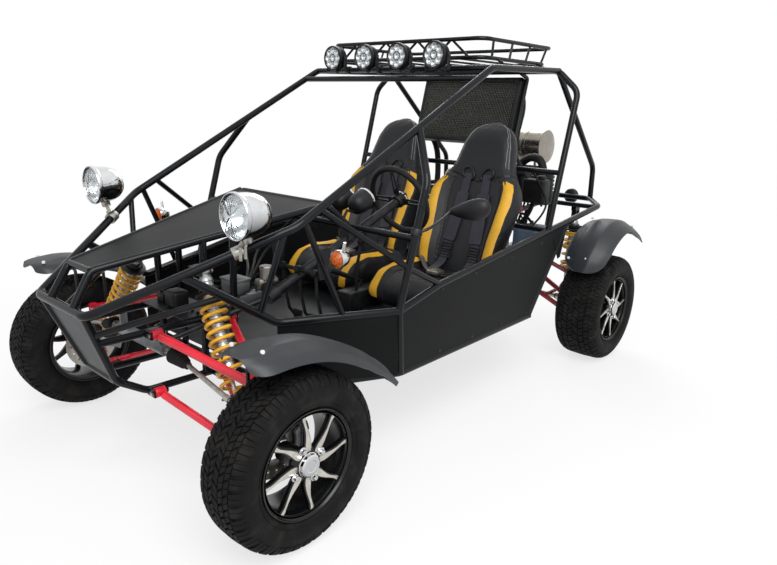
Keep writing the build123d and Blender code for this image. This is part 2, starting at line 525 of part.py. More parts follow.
R_FENDER_C, R_FENDER_R = (RX - 24, TYRE_R + 175), TYRE_R + 34
rear_y = REAR_TRACK / 2
rear_fender = fender(R_FENDER_C, R_FENDER_R, 76, -48, rear_y - 125, rear_y + 145)
save("rear_fenders", rear_fender, flip(rear_fender))
carrier_y, shaft_y = rear_y - 127, REAR_BALL_Y - 15
carrier = block(RX - 62, RX + 62, REAR_BALL_Y + 8, carrier_y, TYRE_R - 71, TYRE_R + 189)
carrier = carrier + drum((RX, shaft_y, TYRE_R), (RX, carrier_y, TYRE_R), 45)
carrier = carrier + drum((RX, shaft_y, TYRE_R), (RX, carrier_y + HUB_GAP + PIN_L, TYRE_R), PIN_R)
for x in (RX + 50, RX - 50):
    top_z = R_FENDER_C[1] + (R_FENDER_R**2 - (x - R_FENDER_C[0]) ** 2) ** 0.5 - 48
    root_y = REAR_BALL_Y + 19
    carrier = carrier + rod([(x, root_y, TYRE_R + 159), (x, root_y, top_z), (x, rear_y + 100, top_z)], 7, 18)
carrier = cope(carrier, rear_low, rear_link, rear_fender)
save("rear_carriers", carrier, flip(carrier))
shaft = drum((RX, 170 + FIT, TYRE_R), (RX, shaft_y - FIT, TYRE_R), 14)
for a, b, r0, r1 in ((190, 260, 42, 24), (shaft_y - 80, shaft_y - 10, 24, 42)):
    step = Pos(0, 0, (b - a) / 2) * Cone(r0, r1, b - a)
    shaft = shaft + Plane(origin=(RX, a, TYRE_R), z_dir=(0, 1, 0)) * step
shaft = cope(shaft, carrier)
save("half_shafts", shaft, flip(shaft))


# Wheels
def wheel(x, y, width, inner):
    """Tyre and rim with eight spokes; inner is the hub's inboard end from the wheel's middle."""
    w = width / 2
    bead, lip = w - 22, RIM_R + 18
    side = [(bead, RIM_R), (bead, lip + 2), (w, 236), (w - 2, 264), (w - 19, TYRE_R - 11), (0, TYRE_R)]
    contour = side + [(-a, r) for a, r in reversed(side[:-1])]
    turn = Plane(origin=(0, 0, 0), x_dir=(0, 1, 0), z_dir=(1, 0, 0))
    tyre = revolve(turn * make_face(Polyline(*contour, close=True)), Axis.Y)
    rim_side = [(bead + FIT, RIM_R - FIT), (bead + FIT, lip), (bead + 9, lip)]
    rim_side += [(bead + 9, lip - 8), (bead - 8, RIM_R - 8)]
    rim_line = rim_side + [(-a, r) for a, r in reversed(rim_side)]
    rim = revolve(turn * make_face(Polyline(*rim_line, close=True)), Axis.Y)
    face = bead - 12  # outer face of the spokes
    tip, half_way = RIM_R - 3, RIM_R * 0.63
    for i in range(8):
        spoke = make_face(
            ThreePointArc((-13, 40), (2, half_way), (14, tip)) + Line((14, tip), (34, tip - 4))
            + ThreePointArc((34, tip - 4), (14, half_way), (13, 40)) + Line((13, 40), (-13, 40))
        )
        bar = extrude(Plane(origin=(0, face, 0), x_dir=(1, 0, 0), z_dir=(0, -1, 0)) * spoke, amount=16)
        rim = rim + Rot(0, 45 * i, 0) * bar
    rim = rim + drum((0, face - 22, 0), (0, face + 2, 0), 62) + drum((0, inner, 0), (0, face - 20, 0), 34)
    rim = rim + drum((0, face, 0), (0, face + 20, 0), 34) + drum((0, inner + 14, 0), (0, inner + 22, 0), 120)
    rim = rim - drum((0, inner - 1, 0), (0, inner + PIN_L + 4, 0), PIN_R + FIT)
    place = Pos(x, y, TYRE_R)
    return place * tyre, place * rim


front_y = FRONT_TRACK / 2
for end, x, y, width, inner in (
    ("front", FX, front_y, FRONT_TYRE_W, HUB_Y - front_y),
    ("rear", RX, rear_y, REAR_TYRE_W, carrier_y + HUB_GAP - rear_y),
):
    tyre, rim = wheel(x, y, width, inner)
    save(f"tyre_{end}_left", tyre)
    save(f"tyre_{end}_right", flip(tyre))
    save(f"rim_{end}_left", rim)
    save(f"rim_{end}_right", flip(rim))

# Engine with its gearbox, exhaust, radiator
engine = block(RX + 140, RX + 520, -230, 230, 430, 700) + block(RX + 190, RX + 430, -210, 210, 690, 840)
engine = engine + block(RX + 210, RX + 410, -190, 190, 830, 880)
engine = engine + block(RX - 95, RX + 160, -150, 150, 250, 520)
engine = engine + drum((RX, -170, TYRE_R), (RX, 170, TYRE_R), 55)
for x in (RX + 150, RX + 420):
    engine = engine + drum((x, -CRADLE_Y, 440), (x, CRADLE_Y, 440), 18)
engine = cope(engine, bay, flip(bay))
MUFFLER = (RX - 200, 1205)
muffler = drum((MUFFLER[0], -250, MUFFLER[1]), (MUFFLER[0], 250, MUFFLER[1]), 102)
pipe = [(RX + 300, -185, 800), (RX + 300, -265, 800), (RX + 120, -265, 1020)]
pipe = rod([*pipe, (MUFFLER[0], -180, MUFFLER[1])], 24, 40)
hangers = [rod([(TAIL[0], y, TAIL[2]), (MUFFLER[0], y, MUFFLER[1])], 9) for y in (-170, 170)]
exhaust = muffler + pipe
for h in hangers:
    exhaust = exhaust + h
exhaust = cope(exhaust, side_loop, engine, bay, flip(bay))
save("engine", engine)
save("exhaust", exhaust)
lean = (HOOP_SHOULDER[0] - HOOP_FOOT[0]) / (HOOP_SHOULDER[2] - HOOP_FOOT[2])
RAD_LOW, RAD_TOP, RAD_Y, RAD_T = 1240, 1600, 335, 55


def rad_face(y, z, back=0):
    """Place on the front of the leaning radiator, or so far behind it."""
    return (HARNESS[0] - 50 + (z - HARNESS[2]) * lean - back, y, z)


corners = [rad_face(s * RAD_Y, z) for s, z in ((1, RAD_LOW), (-1, RAD_LOW), (-1, RAD_TOP), (1, RAD_TOP))]
radiator = sheet(corners, RAD_T, (-1, 0, lean))
for y in (-RAD_Y - 9, RAD_Y + 9):
    bend_a, bend_b = rad_face(y, RAD_LOW - 40, RAD_T / 2), rad_face(y, RAD_TOP, RAD_T / 2)
    ends = (HARNESS[0], y, HARNESS[2]), (HOOP_TOP[0], y, HOOP_TOP[2])
    radiator = radiator + rod([ends[0], bend_a, bend_b, ends[1]], 11, 15)
save("radiator", cope(radiator, harness_bar, hoop))

# Lamps: shells, lenses, roof lamps, indicators
LAMP = (FX + 5, 510, 1077)
shell = drum(LAMP, (LAMP[0] - 40, *LAMP[1:]), 80)
shell = shell + Plane(origin=(LAMP[0] - 85, *LAMP[1:]), z_dir=(-1, 0, 0)) * Cone(78, 30, 90)
foot = along(COWL_NODE, NOSE, FX - 45)
shell = shell + cope(rod([foot, (FX - 45, 500, 1045)], 10), nose_loop)
lens = drum((LAMP[0] + FIT, *LAMP[1:]), (LAMP[0] + 14, *LAMP[1:]), 74)
BLINK = (FX - 352, 622, 896)
blink_on = along(part_way(COWL_NODE, ROOF_FRONT, 0.09), bar_mid, FX - 380)
blink = drum(BLINK, (BLINK[0] - 45, *BLINK[1:]), 34) + rod([(BLINK[0] - 28, *BLINK[1:]), blink_on], 6)
blink = cope(blink, door_front)
blink_lens = drum((BLINK[0] + FIT, *BLINK[1:]), (BLINK[0] + 12, *BLINK[1:]), 31)
save("lamp_shells", shell, blink, flip(shell), flip(blink))
ROOF_LAMP_X, ROOF_LAMP_Z = MID - 60, 1667
roof_lamps, roof_lenses = [], []
for y in (-335, -110, 110, 335):
    can = drum((ROOF_LAMP_X, y, ROOF_LAMP_Z), (ROOF_LAMP_X - 50, y, ROOF_LAMP_Z), 62)
    arm_rod = rod([(ROOF_LAMP_X - 30, y, ROOF_LAMP_Z), (ROOF_FRONT[0], y, ROOF_FRONT[2])], 9)
    roof_lamps.append(cope(can + arm_rod, roof_bar))
    roof_lenses.append(drum((ROOF_LAMP_X + FIT, y, ROOF_LAMP_Z), (ROOF_LAMP_X + 8, y, ROOF_LAMP_Z), 56))
save("roof_lamps", *roof_lamps)
save("lamp_lenses", lens, flip(lens), *roof_lenses)
save("indicator_lenses", blink_lens, flip(blink_lens))
clamp = up(SILL_FRONT, POST_BEND, 960)
head = (MID + 250, 800, 1050)
mirror_arm = cope(rod([clamp, (MID + 330, 780, 1010), head], 7, 30), post)
mirror_solid = mirror_arm + Plane(origin=head, z_dir=(-1, -0.15, 0)) * Box(160, 95, 40)
save("mirror", mirror_solid)

# Roof rack: two bent loops, posts, truss and slats
RACK_Y, RACK_H, RACK_R, SLAT_R = 500, 84, 10, 6
RACK_LOW = HOOP_TOP[2] + MAIN_R * 2
RACK_TOP = RACK_LOW + RACK_H
front_x, low_x, top_x = MID - 220, MID - 820, MID - 880
low_ends = [(front_x, RACK_Y, RACK_LOW), (low_x, RACK_Y, RACK_LOW)]
top_ends = [(front_x, RACK_Y, RACK_TOP), (top_x, RACK_Y, RACK_TOP)]
rack = [rod([a, b, other(b), other(a)], RACK_R, 60, closed=True) for a, b in (low_ends, top_ends)]
spans = []
for s in (1, -1):
    for t in (0.12, 0.38, 0.64, 0.9):
        a, b = part_way(*low_ends, t), part_way(*top_ends, t)
        spans.append(((a[0], s * a[1], a[2]), (b[0], s * b[1], b[2])))
for i in range(8):
    ya, yb = -RACK_Y * 0.84 + i * RACK_Y * 0.21, -RACK_Y * 0.84 + (i + 1) * RACK_Y * 0.21
    za, zb = (RACK_LOW, RACK_TOP) if i % 2 == 0 else (RACK_TOP, RACK_LOW)
    spans.append(((front_x, ya, za), (front_x, yb, zb)))
spans += [((front_x, y, RACK_LOW), (low_x, y, RACK_LOW)) for y in (-330, -165, 0, 165, 330)]
for x in (front_x - 110, low_x + 110):
    on_rail = along(ROOF_FRONT, HOOP_TOP, x)
    spans += [((x, s * RACK_Y, RACK_LOW), (x, s * on_rail[1], on_rail[2])) for s in (1, -1)]
rack = rack[0].fuse(rack[1], *(drum(a, b, SLAT_R) for a, b in spans))
save("roof_rack", cope(rack, *pillars, hoop))

os.makedirs("parts", exist_ok=True)
for node, solids in parts.items():
    export_step(solids[0] if len(solids) == 1 else Compound(children=solids), f"parts/{node}.step")
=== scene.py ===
"""Looks of a two-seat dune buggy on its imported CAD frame: metres, +X ahead, +Y to the left, +Z up."""

from math import atan2, cos, pi, radians, sin, sqrt, tau

import bpy
from mathutils import Matrix, Vector


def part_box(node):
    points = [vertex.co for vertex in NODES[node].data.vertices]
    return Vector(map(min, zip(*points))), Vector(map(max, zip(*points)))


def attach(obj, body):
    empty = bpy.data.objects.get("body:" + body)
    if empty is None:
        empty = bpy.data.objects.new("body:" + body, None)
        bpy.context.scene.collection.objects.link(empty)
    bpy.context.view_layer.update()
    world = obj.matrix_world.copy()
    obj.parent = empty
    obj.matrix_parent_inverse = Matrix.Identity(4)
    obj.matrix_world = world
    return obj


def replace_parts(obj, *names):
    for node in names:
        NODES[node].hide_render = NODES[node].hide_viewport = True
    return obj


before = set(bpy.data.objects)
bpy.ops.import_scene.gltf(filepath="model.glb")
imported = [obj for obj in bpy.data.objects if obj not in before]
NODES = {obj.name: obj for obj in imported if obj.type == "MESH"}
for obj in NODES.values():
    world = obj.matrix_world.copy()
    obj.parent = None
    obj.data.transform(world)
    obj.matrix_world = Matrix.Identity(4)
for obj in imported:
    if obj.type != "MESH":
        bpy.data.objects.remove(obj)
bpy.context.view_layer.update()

bl_info = {
    "name": "Dune Buggy",
    "version": (1, 0, 0),
    "blender": (4, 5, 0),
    "location": "View3D > Sidebar > Buggy",
    "description": "Models the visible pieces of a two-seat dune buggy round its CAD frame",
    "category": "Object",
}

ENDS = ("front", "rear")
AHEAD, LEFT, UP = (1, 0, 0), (0, 1, 0), (0, 0, 1)


def middle(node):
    low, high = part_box(node)
    return (low + high) / 2


def size(node):
    low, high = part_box(node)
    return high - low


HUB = {end: middle(f"tyre_{end}_left") for end in ENDS}  # middles of the left wheels
TYRE_R = size("tyre_front_left").z / 2
MIRROR = Matrix.Scale(-1, 4, LEFT)


def srgb(code):
    """Linear colour from a hex code such as #d3202f."""
    parts = [int(code[i : i + 2], 16) / 255 for i in (1, 3, 5)]
    return tuple(c / 12.92 if c <= 0.04045 else ((c + 0.055) / 1.055) ** 2.4 for c in parts)


def colour_prop(name, description, code):
    return bpy.props.FloatVectorProperty(name=name, description=description, default=srgb(code), size=3,
        min=0, max=1, subtype="COLOR")


def length_prop(name, description, default):
    return bpy.props.FloatProperty(name=name, description=description, default=default, min=0, precision=4,
        subtype="DISTANCE", unit="LENGTH")


class BuggyColours(bpy.types.PropertyGroup):
    """Colours that a user would repaint"""

    frame_paint: colour_prop("Frame paint", "Powder coat of the tube frame", "#0e1014")
    panel_paint: colour_prop("Panel paint", "Satin paint of the side panels and hood", "#0e0f10")
    front_arm_paint: colour_prop("Front arms", "Paint of the front suspension arms", "#d81f33")
    rear_arm_paint: colour_prop("Rear arms", "Paint of the rear suspension arms", "#8e1420")
    spring_paint: colour_prop("Springs", "Paint of the four coil springs", "#e6ab20")
    fender_plastic: colour_prop("Fenders", "Moulded plastic of the fenders", "#2a2d30")
    seat_cover: colour_prop("Seat cover", "Leatherette of the seats", "#17181b")
    seat_band: colour_prop("Seat bands", "Leatherette bands along the bolsters", "#d9a52c")


class BuggySizes(bpy.types.PropertyGroup):
    """Sizes that a user would change"""

    tread_depth: length_prop("Tread depth", "Depth of the tread grooves", 0.0085)
    tread_pitches: bpy.props.IntProperty(name="Tread pitches", description="Tread blocks round a tyre",
        default=40)
    coil_wire: length_prop("Coil wire", "Radius of the spring wire", 0.0071)
    guard_pitch: length_prop("Guard pitch", "Mesh pitch of the radiator guard", 0.0105)
    web_width: length_prop("Web width", "Width of the harness straps", 0.048)
    stitch: length_prop("Stitch", "Half the width of a sewn line, drawn thick so that it shows", 0.0016)


def colours():
    return bpy.context.scene.buggy_colours


def sizes():
    return bpy.context.scene.buggy_sizes


# Modelling helpers


def deselect():
    if bpy.context.object and bpy.context.object.mode != "OBJECT":
        bpy.ops.object.mode_set(mode="OBJECT")
    bpy.ops.object.select_all(action="DESELECT")


def choose(*objs):
    """Selects only these objects; the first is active."""
    deselect()
    for obj in objs:
        obj.select_set(True)
    bpy.context.view_layer.objects.active = objs[0]


def enter(obj):
    """Edit mode with the whole mesh selected."""
    choose(obj)
    bpy.ops.object.mode_set(mode="EDIT")
    bpy.ops.mesh.select_all(action="SELECT")


def leave():
    bpy.ops.object.mode_set(mode="OBJECT")


def tidy(obj, merge=0.00002):
    """Merges doubles, drops loose edges and turns the faces outwards."""
    enter(obj)
    bpy.ops.mesh.remove_doubles(threshold=merge)
    bpy.ops.mesh.delete_loose()
    bpy.ops.mesh.select_all(action="SELECT")
    bpy.ops.mesh.normals_make_consistent(inside=False)
    leave()
    return obj


def modify(obj, kind, **settings):
    """Adds a modifier and applies it."""
    choose(obj)
    made = obj.modifiers.new(kind.lower(), kind)
    for key, value in settings.items():
        setattr(made, key, value)
    bpy.ops.object.modifier_apply(modifier=made.name)
    return obj


def bevel(obj, width, segments=2, angle=35):
    return modify(obj, "BEVEL", width=width, segments=segments, limit_method="ANGLE",
        angle_limit=radians(angle))


def smooth(obj, levels=1):
    return modify(obj, "SUBSURF", levels=levels, render_levels=levels)


def loop(name, points, fill="NOTHING"):
    """A closed loop of edges, or one face, through the points."""
    deselect()
    bpy.ops.mesh.primitive_circle_add(vertices=len(points), fill_type=fill, location=(0, 0, 0))
    obj = bpy.context.object
    obj.name = name
    for vertex, point in zip(obj.data.vertices, points):
        vertex.co = point
    return obj


def plate(name, outline, push, edge=0, segments=2):
    """A flat outline pushed to a thickness, with its edges rounded."""
    obj = loop(name, outline, "NGON")
    enter(obj)
    bpy.ops.mesh.extrude_region_move(TRANSFORM_OT_translate={"value": push})
    leave()
    tidy(obj)
    return bevel(obj, edge, segments) if edge else obj


def turned(name, profile, centre=(0, 0, 0), axis=UP, steps=40):
    """A turned piece: a closed profile of (radius, along) spun round its axis."""
    centre, axis = Vector(centre), Vector(axis).normalized()
    side = axis.orthogonal().normalized()
    obj = loop(name, [centre + side * r + axis * h for r, h in profile])
    enter(obj)
    bpy.ops.mesh.spin(steps=steps, angle=tau, center=centre, axis=axis)
    leave()
    return tidy(obj)


def skin(name, rows, ring=True, cap=True, out=None):
    """A surface through rows of points; rings are closed and capped, strips face the way out."""
    across = len(rows[0]) + (1 if ring else 0)
    deselect()
    bpy.ops.mesh.primitive_grid_add(x_subdivisions=across - 1, y_subdivisions=len(rows) - 1)
    obj = bpy.context.object
    obj.name = name
    for i, row in enumerate(rows):
        for j in range(across):
            obj.data.vertices[i * across + j].co = row[j % len(row)]
    enter(obj)
    bpy.ops.mesh.remove_doubles(threshold=0.00001)
    if ring and cap:
        bpy.ops.mesh.select_all(action="DESELECT")
        bpy.ops.mesh.select_non_manifold()
        bpy.ops.mesh.fill_holes(sides=0)
    bpy.ops.mesh.select_all(action="SELECT")
    if ring:
        bpy.ops.mesh.normals_make_consistent(inside=False)
    leave()
    if not ring and out is not None:
        total = sum((p.normal * p.area for p in obj.data.polygons), Vector())
        if total.dot(Vector(out)) < 0:
            obj.data.flip_normals()
    return obj


def pipe(name, points, radius, closed=False, curved=False, sides=5):
    """A round bar or hose along points: straight runs, or one smooth line."""
    line = bpy.data.curves.new(name, "CURVE")
    line.dimensions, line.bevel_depth, line.bevel_resolution = "3D", radius, sides // 2
    line.use_fill_caps = not closed
    run = line.splines.new("NURBS" if curved else "POLY")
    run.points.add(len(points) - 1)
    for point, place in zip(run.points, points):
        point.co = (*place, 1)
    run.use_cyclic_u = closed
    if curved:
        run.order_u, run.use_endpoint_u, run.resolution_u = 3, not closed, 6
    obj = bpy.data.objects.new(name, line)
    bpy.context.scene.collection.objects.link(obj)
    choose(obj)
    bpy.ops.object.convert(target="MESH")
    return tidy(bpy.context.object)


def mm(*pairs):
    """A profile written in millimetres."""
    return [(r / 1000, h / 1000) for r, h in pairs]


def even(*half):
    """A profile in millimetres whose second half mirrors its first."""
    return mm(*half, *((r, -h) for r, h in reversed(half)))


def oblong(a, b):
    """Corners of a rectangle of half sizes a and b."""
    return (-a, -b), (a, -b), (a, b), (-a, b)


def copy_of(obj, name, matrix):
    """A copy with its own mesh, moved by the matrix."""
    twin = obj.copy()
    twin.data = obj.data.copy()
    twin.name = name
    bpy.context.scene.collection.objects.link(twin)
    twin.data.transform(matrix)
    if matrix.is_negative:
        twin.data.flip_normals()
    return twin


def join(name, objs):
    choose(*objs)
    bpy.ops.object.join()
    objs[0].name = name
    return objs[0]


def to_axis(place, axis, roll=0):
    """Matrix that puts a piece made along +Z at a place, along an axis."""
    way = Vector(axis).normalized()
    return Matrix.Translation(place) @ way.to_track_quat("Z",
        "Y").to_matrix().to_4x4() @ Matrix.Rotation(roll, 4, "Z")


def spun(place, axis, angle):
    """Matrix that turns about an axis through a place."""
    place = Vector(place)
    return Matrix.Translation(place) @ Matrix.Rotation(angle, 4, Vector(axis)) @ Matrix.Translation(-place)


def dress(obj, material, slot, angle=35, replaces=(), body="chassis"):
    """Gives a finished piece its smooth faces, material and body."""
    choose(obj)
    bpy.ops.object.shade_smooth_by_angle(angle=radians(angle))
    obj.data.materials.clear()
    obj.data.materials.append(finish(material))
    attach(obj, body)
    if replaces:
        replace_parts(obj, *replaces)
    return obj


def pair(obj, material, slot, angle=35, replaces=(), body="chassis"):
    """Dresses a left piece and its mirrored copy on the right."""
    name = obj.name
    twin = copy_of(obj, name + "_right", MIRROR)
    obj.name = name + "_left"
    dress(obj, material, slot, angle, replaces, body)
    others = [n.replace("_left", "_right") for n in replaces if "_left" in n]
    dress(twin, material, slot, angle, others, body.replace("_left", "_right"))
    return obj, twin


def lerp(a, b, t):
    return a + (b - a) * t


def table_at(table, x):
    """Value at x of a table of (x, value) points, eased between them."""
    if x <= table[0][0]:
        return table[0][1]
    for (x0, y0), (x1, y1) in zip(table, table[1:]):
        if x <= x1:
            t = (x - x0) / (x1 - x0)
            return lerp(y0, y1, t * t * (3 - 2 * t))
    return table[-1][1]


# Materials

FINISHES = {}


def node(tree, kind, sockets=None, **settings):
    """Adds a shader node; a socket given for an input is linked, any other value is set."""
    made = tree.nodes.new("ShaderNode" + kind)
    for key, value in settings.items():
        setattr(made, key, value)
    for key, value in (sockets or {}).items():
        if isinstance(value, bpy.types.NodeSocket):
            tree.links.new(value, made.inputs[key])
        else:
            made.inputs[key].default_value = value
    return made


def shaded(colour, by):
    return tuple(min(1.0, c * by) for c in colour)


def surface(name, colour, rough, mottle=(90, 0.82, 1.12), grain=(2.0, 0.05), metallic=0, coat=0, shine=0.5,
            stretch=(1, 1, 1)):
    """A finish with broad mottling in its colour and gloss and a fine grain in its relief.

    rough is (low, high); mottle is (lump mm, darkest, lightest); grain is (lump mm, depth mm).
    Returns the material, its node tree, its shader and the coordinates its patterns lie on."""
    material = bpy.data.materials.new(name)
    material.use_nodes = True
    tree = material.node_tree
    shader = tree.nodes["Principled BSDF"]
    where = node(tree, "TexCoord").outputs["Object"]
    if stretch != (1, 1, 1):
        where = node(tree, "Mapping", {"Vector": where, "Scale": stretch}).outputs["Vector"]
    broad = node(tree, "TexNoise", {"Vector": where, "Scale": 1000 / mottle[0],
        "Detail": 4.0}).outputs["Fac"]
    fine = node(tree, "TexNoise", {"Vector": where, "Scale": 1000 / grain[0], "Detail": 2.0}).outputs["Fac"]
    ramp = node(tree, "ValToRGB", {"Fac": broad})
    for stop, place, by in zip(ramp.color_ramp.elements, (0.35, 0.65), mottle[1:]):
        stop.position, stop.color = place, (*shaded(colour, by), 1)
    gloss = node(tree, "MapRange", {"Value": broad, "To Min": rough[0], "To Max": rough[1]})
    bump = node(tree, "Bump", {"Height": fine, "Distance": grain[1] / 1000})
    tree.links.new(ramp.outputs["Color"], shader.inputs["Base Color"])
    tree.links.new(gloss.outputs["Result"], shader.inputs["Roughness"])
    tree.links.new(bump.outputs["Normal"], shader.inputs["Normal"])
    shader.inputs["Metallic"].default_value = metallic
    shader.inputs["Specular IOR Level"].default_value = shine
    if coat:
        shader.inputs["Coat Weight"].default_value = coat
        shader.inputs["Coat Roughness"].default_value = 0.08
    return material, tree, shader, where


def powder_coat():
    # Glossy blue-black powder coat: orange peel breaks up the sky's reflection along the tubes
    return surface("powder coat blue-black", colours().frame_paint, (0.15, 0.26), (140, 0.85, 1.2),
        (2.6, 0.04), shine=0.22)[0]


def satin_panel():
    # Satin black on sheet metal: cloudy gloss and faint rub marks along the car
    return surface("satin black sheet", colours().panel_paint, (0.36, 0.5), (220, 0.85, 1.15), (3.5, 0.05),
        shine=0.11, stretch=(0.25, 1, 1))[0]


def bare_plate():
    # Dark anodised plate under the nose: scuffed, paler where stones rub it
    return surface("scuffed grey plate", srgb("#2f3234"), (0.36, 0.56), (60, 0.7, 1.25), (1.2, 0.06),
        metallic=0.6)[0]


def red_enamel():
    # Bright red enamel of the front arms: clean gloss with soft variation
    return surface("red enamel", colours().front_arm_paint, (0.25, 0.38), (80, 0.88, 1.06), (2.4, 0.03),
        coat=0.25)[0]


def dark_red_enamel():
    # Older, darker red of the rear arms
    return surface("dark red enamel", colours().rear_arm_paint, (0.3, 0.45), (70, 0.75, 1.12), (2.4, 0.04),
        coat=0.15)[0]


def spring_enamel():
    # Golden yellow spring paint with a little road film
    return surface("golden spring enamel", colours().spring_paint, (0.28, 0.42), (45, 0.8, 1.06),
        (2.0, 0.03), coat=0.2)[0]


def fender_shell():
    # Charcoal moulded plastic: fine moulded grain that spreads the highlight
    return surface("charcoal moulded plastic", colours().fender_plastic, (0.38, 0.48), (120, 0.9, 1.1),
        (0.9, 0.05), shine=0.4)[0]


def black_plastic():
    # Plain black plastic of housings and pods
    return surface("black plastic", srgb("#111214"), (0.4, 0.52), (50, 0.85, 1.2), (1.0, 0.04),
        shine=0.3)[0]


def gloss_black():
    # Gloss black wheel paint under the machined spokes
    return surface("gloss black wheel paint", srgb("#0a0b0c"), (0.2, 0.32), (70, 0.85, 1.25), (2.2, 0.03),
        shine=0.35)[0]


def machined_alloy():
    # Turned and lacquered spoke faces: silver with fine tool lines
    return surface("machined alloy", srgb("#c9c5bd"), (0.22, 0.36), (24, 0.86, 1.05), (0.7, 0.02),
        metallic=1.0)[0]


def cast_alloy():
    # Sand-cast aluminium: grey, grainy and half matt
    return surface("cast aluminium", srgb("#8d9092"), (0.42, 0.6), (40, 0.78, 1.08), (1.4, 0.12),
        metallic=0.9)[0]


def damper_alloy():
    # Brushed damper bodies
    return surface("brushed damper alloy", srgb("#b4b6b6"), (0.28, 0.42), (30, 0.82, 1.05), (0.8, 0.03),
        metallic=1.0)[0]


def chrome():
    # Chrome plate with slight clouding from age; its underside is painted dark, a painted reflection of dark
    # ground
    material, tree, shader, _ = surface("chrome plate", srgb("#e6e7e8"), (0.05, 0.12), (30, 0.9, 1.0),
        (3.0, 0.01), metallic=1.0)
    facing = node(tree, "SeparateXYZ", {"Vector": node(tree, "NewGeometry").outputs["Normal"]}).outputs["Z"]
    # Painted reflection: faces that point down are mixed towards dark grey, as if they mirrored dark ground
    under = node(tree, "MapRange", {"Value": facing, "From Min": -0.55, "From Max": 0.35, "To Min": 0.88,
        "To Max": 0.0})
    bright = shader.inputs["Base Color"].links[0].from_socket
    mixed = node(tree, "Mix", {0: under.outputs["Result"], 6: bright, 7: (*srgb("#232426"), 1)},
        data_type="RGBA")
    tree.links.new(mixed.outputs[2], shader.inputs["Base Color"])
    return material


def zinc_steel():
    # Zinc-plated fasteners, rods and shafts
    return surface("zinc plated steel", srgb("#a9a7a0"), (0.3, 0.48), (18, 0.75, 1.08), (1.0, 0.03),
        metallic=1.0)[0]


def dark_steel():
    # Oiled black steel of knuckles, hubs and brackets
    return surface("oiled dark steel", srgb("#2b2c2e"), (0.38, 0.55), (35, 0.7, 1.3), (1.2, 0.06),
        metallic=0.7)[0]


def exhaust_steel():
    # Polished stainless silencer with a trace of heat tint
    return surface("polished stainless", srgb("#9b968c"), (0.2, 0.36), (55, 0.82, 1.04), (1.6, 0.03),
        metallic=1.0)[0]


def hard_rubber():
    # Black rubber of boots, hoses, grips and pads
    return surface("black rubber", srgb("#131314"), (0.55, 0.72), (30, 0.8, 1.3), (0.8, 0.05),
        shine=0.25)[0]


def tyre_rubber():
    # Worn tyre rubber: dark grey, dusty on the tread and in the grooves
    material, tree, shader, where = surface("tyre rubber", srgb("#131313"), (0.62, 0.8), (70, 0.75, 1.3),
        (1.5, 0.08), shine=0.12)
    dust = node(tree, "TexNoise", {"Vector": where, "Scale": 1000 / 55, "Detail": 5.0}).outputs["Fac"]
    film = node(tree, "MapRange", {"Value": dust, "From Min": 0.5, "From Max": 0.8,
        "To Max": 0.2}).outputs["Result"]
    rubber = shader.inputs["Base Color"].links[0].from_socket
    mixed = node(tree, "Mix", {0: film, 6: rubber, 7: (*srgb("#56504a"), 1)}, data_type="RGBA")
    tree.links.new(mixed.outputs[2], shader.inputs["Base Color"])
    return material


def grain_leather(name, colour, rough):
    """Leatherette: pebbled cells about 2 mm across, a little coarser than real so that they show."""
    material, tree, shader, where = surface(name, colour, rough, (110, 0.86, 1.12), (6.0, 0.1), shine=0.32)
    cells = node(tree, "TexVoronoi", {"Vector": where, "Scale": 1000 / 2}, feature="DISTANCE_TO_EDGE")
    under = shader.inputs["Normal"].links[0].from_socket
    pebbles = node(tree, "Bump", {"Height": cells.outputs["Distance"], "Strength": 0.6, "Distance": 0.0003,
        "Normal": under})
    tree.links.new(pebbles.outputs["Normal"], shader.inputs["Normal"])
    return material


def seat_black():
    # Black leatherette of the seats, soft shine on the crowns
    return grain_leather("black leatherette", colours().seat_cover, (0.42, 0.56))


def seat_yellow():
    # Golden leatherette bands sewn along the bolsters
    return grain_leather("golden leatherette", colours().seat_band, (0.4, 0.52))


def webbing():
    # Woven belt webbing: ribs across the strap every 3 mm, coarser than real so that they show
    material, tree, shader, where = surface("belt webbing", srgb("#2c2a34"), (0.6, 0.75), (60, 0.85, 1.2),
        (0.8, 0.05), shine=0.25)
    ribs = node(tree, "TexWave", {"Vector": where, "Scale": 1000 / 3 / 20 * pi, "Distortion": 0.4},
        bands_direction="Z")
    under = shader.inputs["Normal"].links[0].from_socket
    woven = node(tree, "Bump", {"Height": ribs.outputs["Fac"], "Strength": 0.7, "Distance": 0.0003,
        "Normal": under})
    tree.links.new(woven.outputs["Normal"], shader.inputs["Normal"])
    shader.inputs["Sheen Weight"].default_value = 0.25
    return material


def thread():
    # Pale sewing thread
    return surface("pale thread", srgb("#8d8f91"), (0.6, 0.75), (8, 0.8, 1.1), (0.5, 0.03))[0]


def clear_lens(name, colour, rough, density):
    """Moulded lens: see-through, with faint waves in its face."""
    material, _, shader, _ = surface(name, colour, rough, (40, 0.96, 1.0), (5.0, 0.02))
    shader.inputs["Transmission Weight"].default_value = density
    shader.inputs["IOR"].default_value = 1.45
    return material


def clear_glass():
    # Clear fluted lamp glass
    return clear_lens("clear lamp glass", srgb("#f4f7f8"), (0.04, 0.1), 1.0)


def amber_glass():
    # Amber indicator lens, lit through by its own colour
    return clear_lens("amber lens", srgb("#f2731a"), (0.1, 0.2), 0.55)


def red_glass():
    # Red tail lamp lens
    return clear_lens("red lens", srgb("#a8121a"), (0.1, 0.2), 0.5)


def reflector():
    # Silvered lamp bowl, pale and slightly frosted
    return surface("silvered reflector", srgb("#eceeef"), (0.14, 0.26), (20, 0.92, 1.0), (3.0, 0.02),
        metallic=0.85)[0]


def mirror_glass():
    # Mirror glass, bluish and clean
    return surface("mirror glass", srgb("#d6dde2"), (0.02, 0.05), (40, 0.96, 1.0), (8.0, 0.005),
        metallic=1.0)[0]


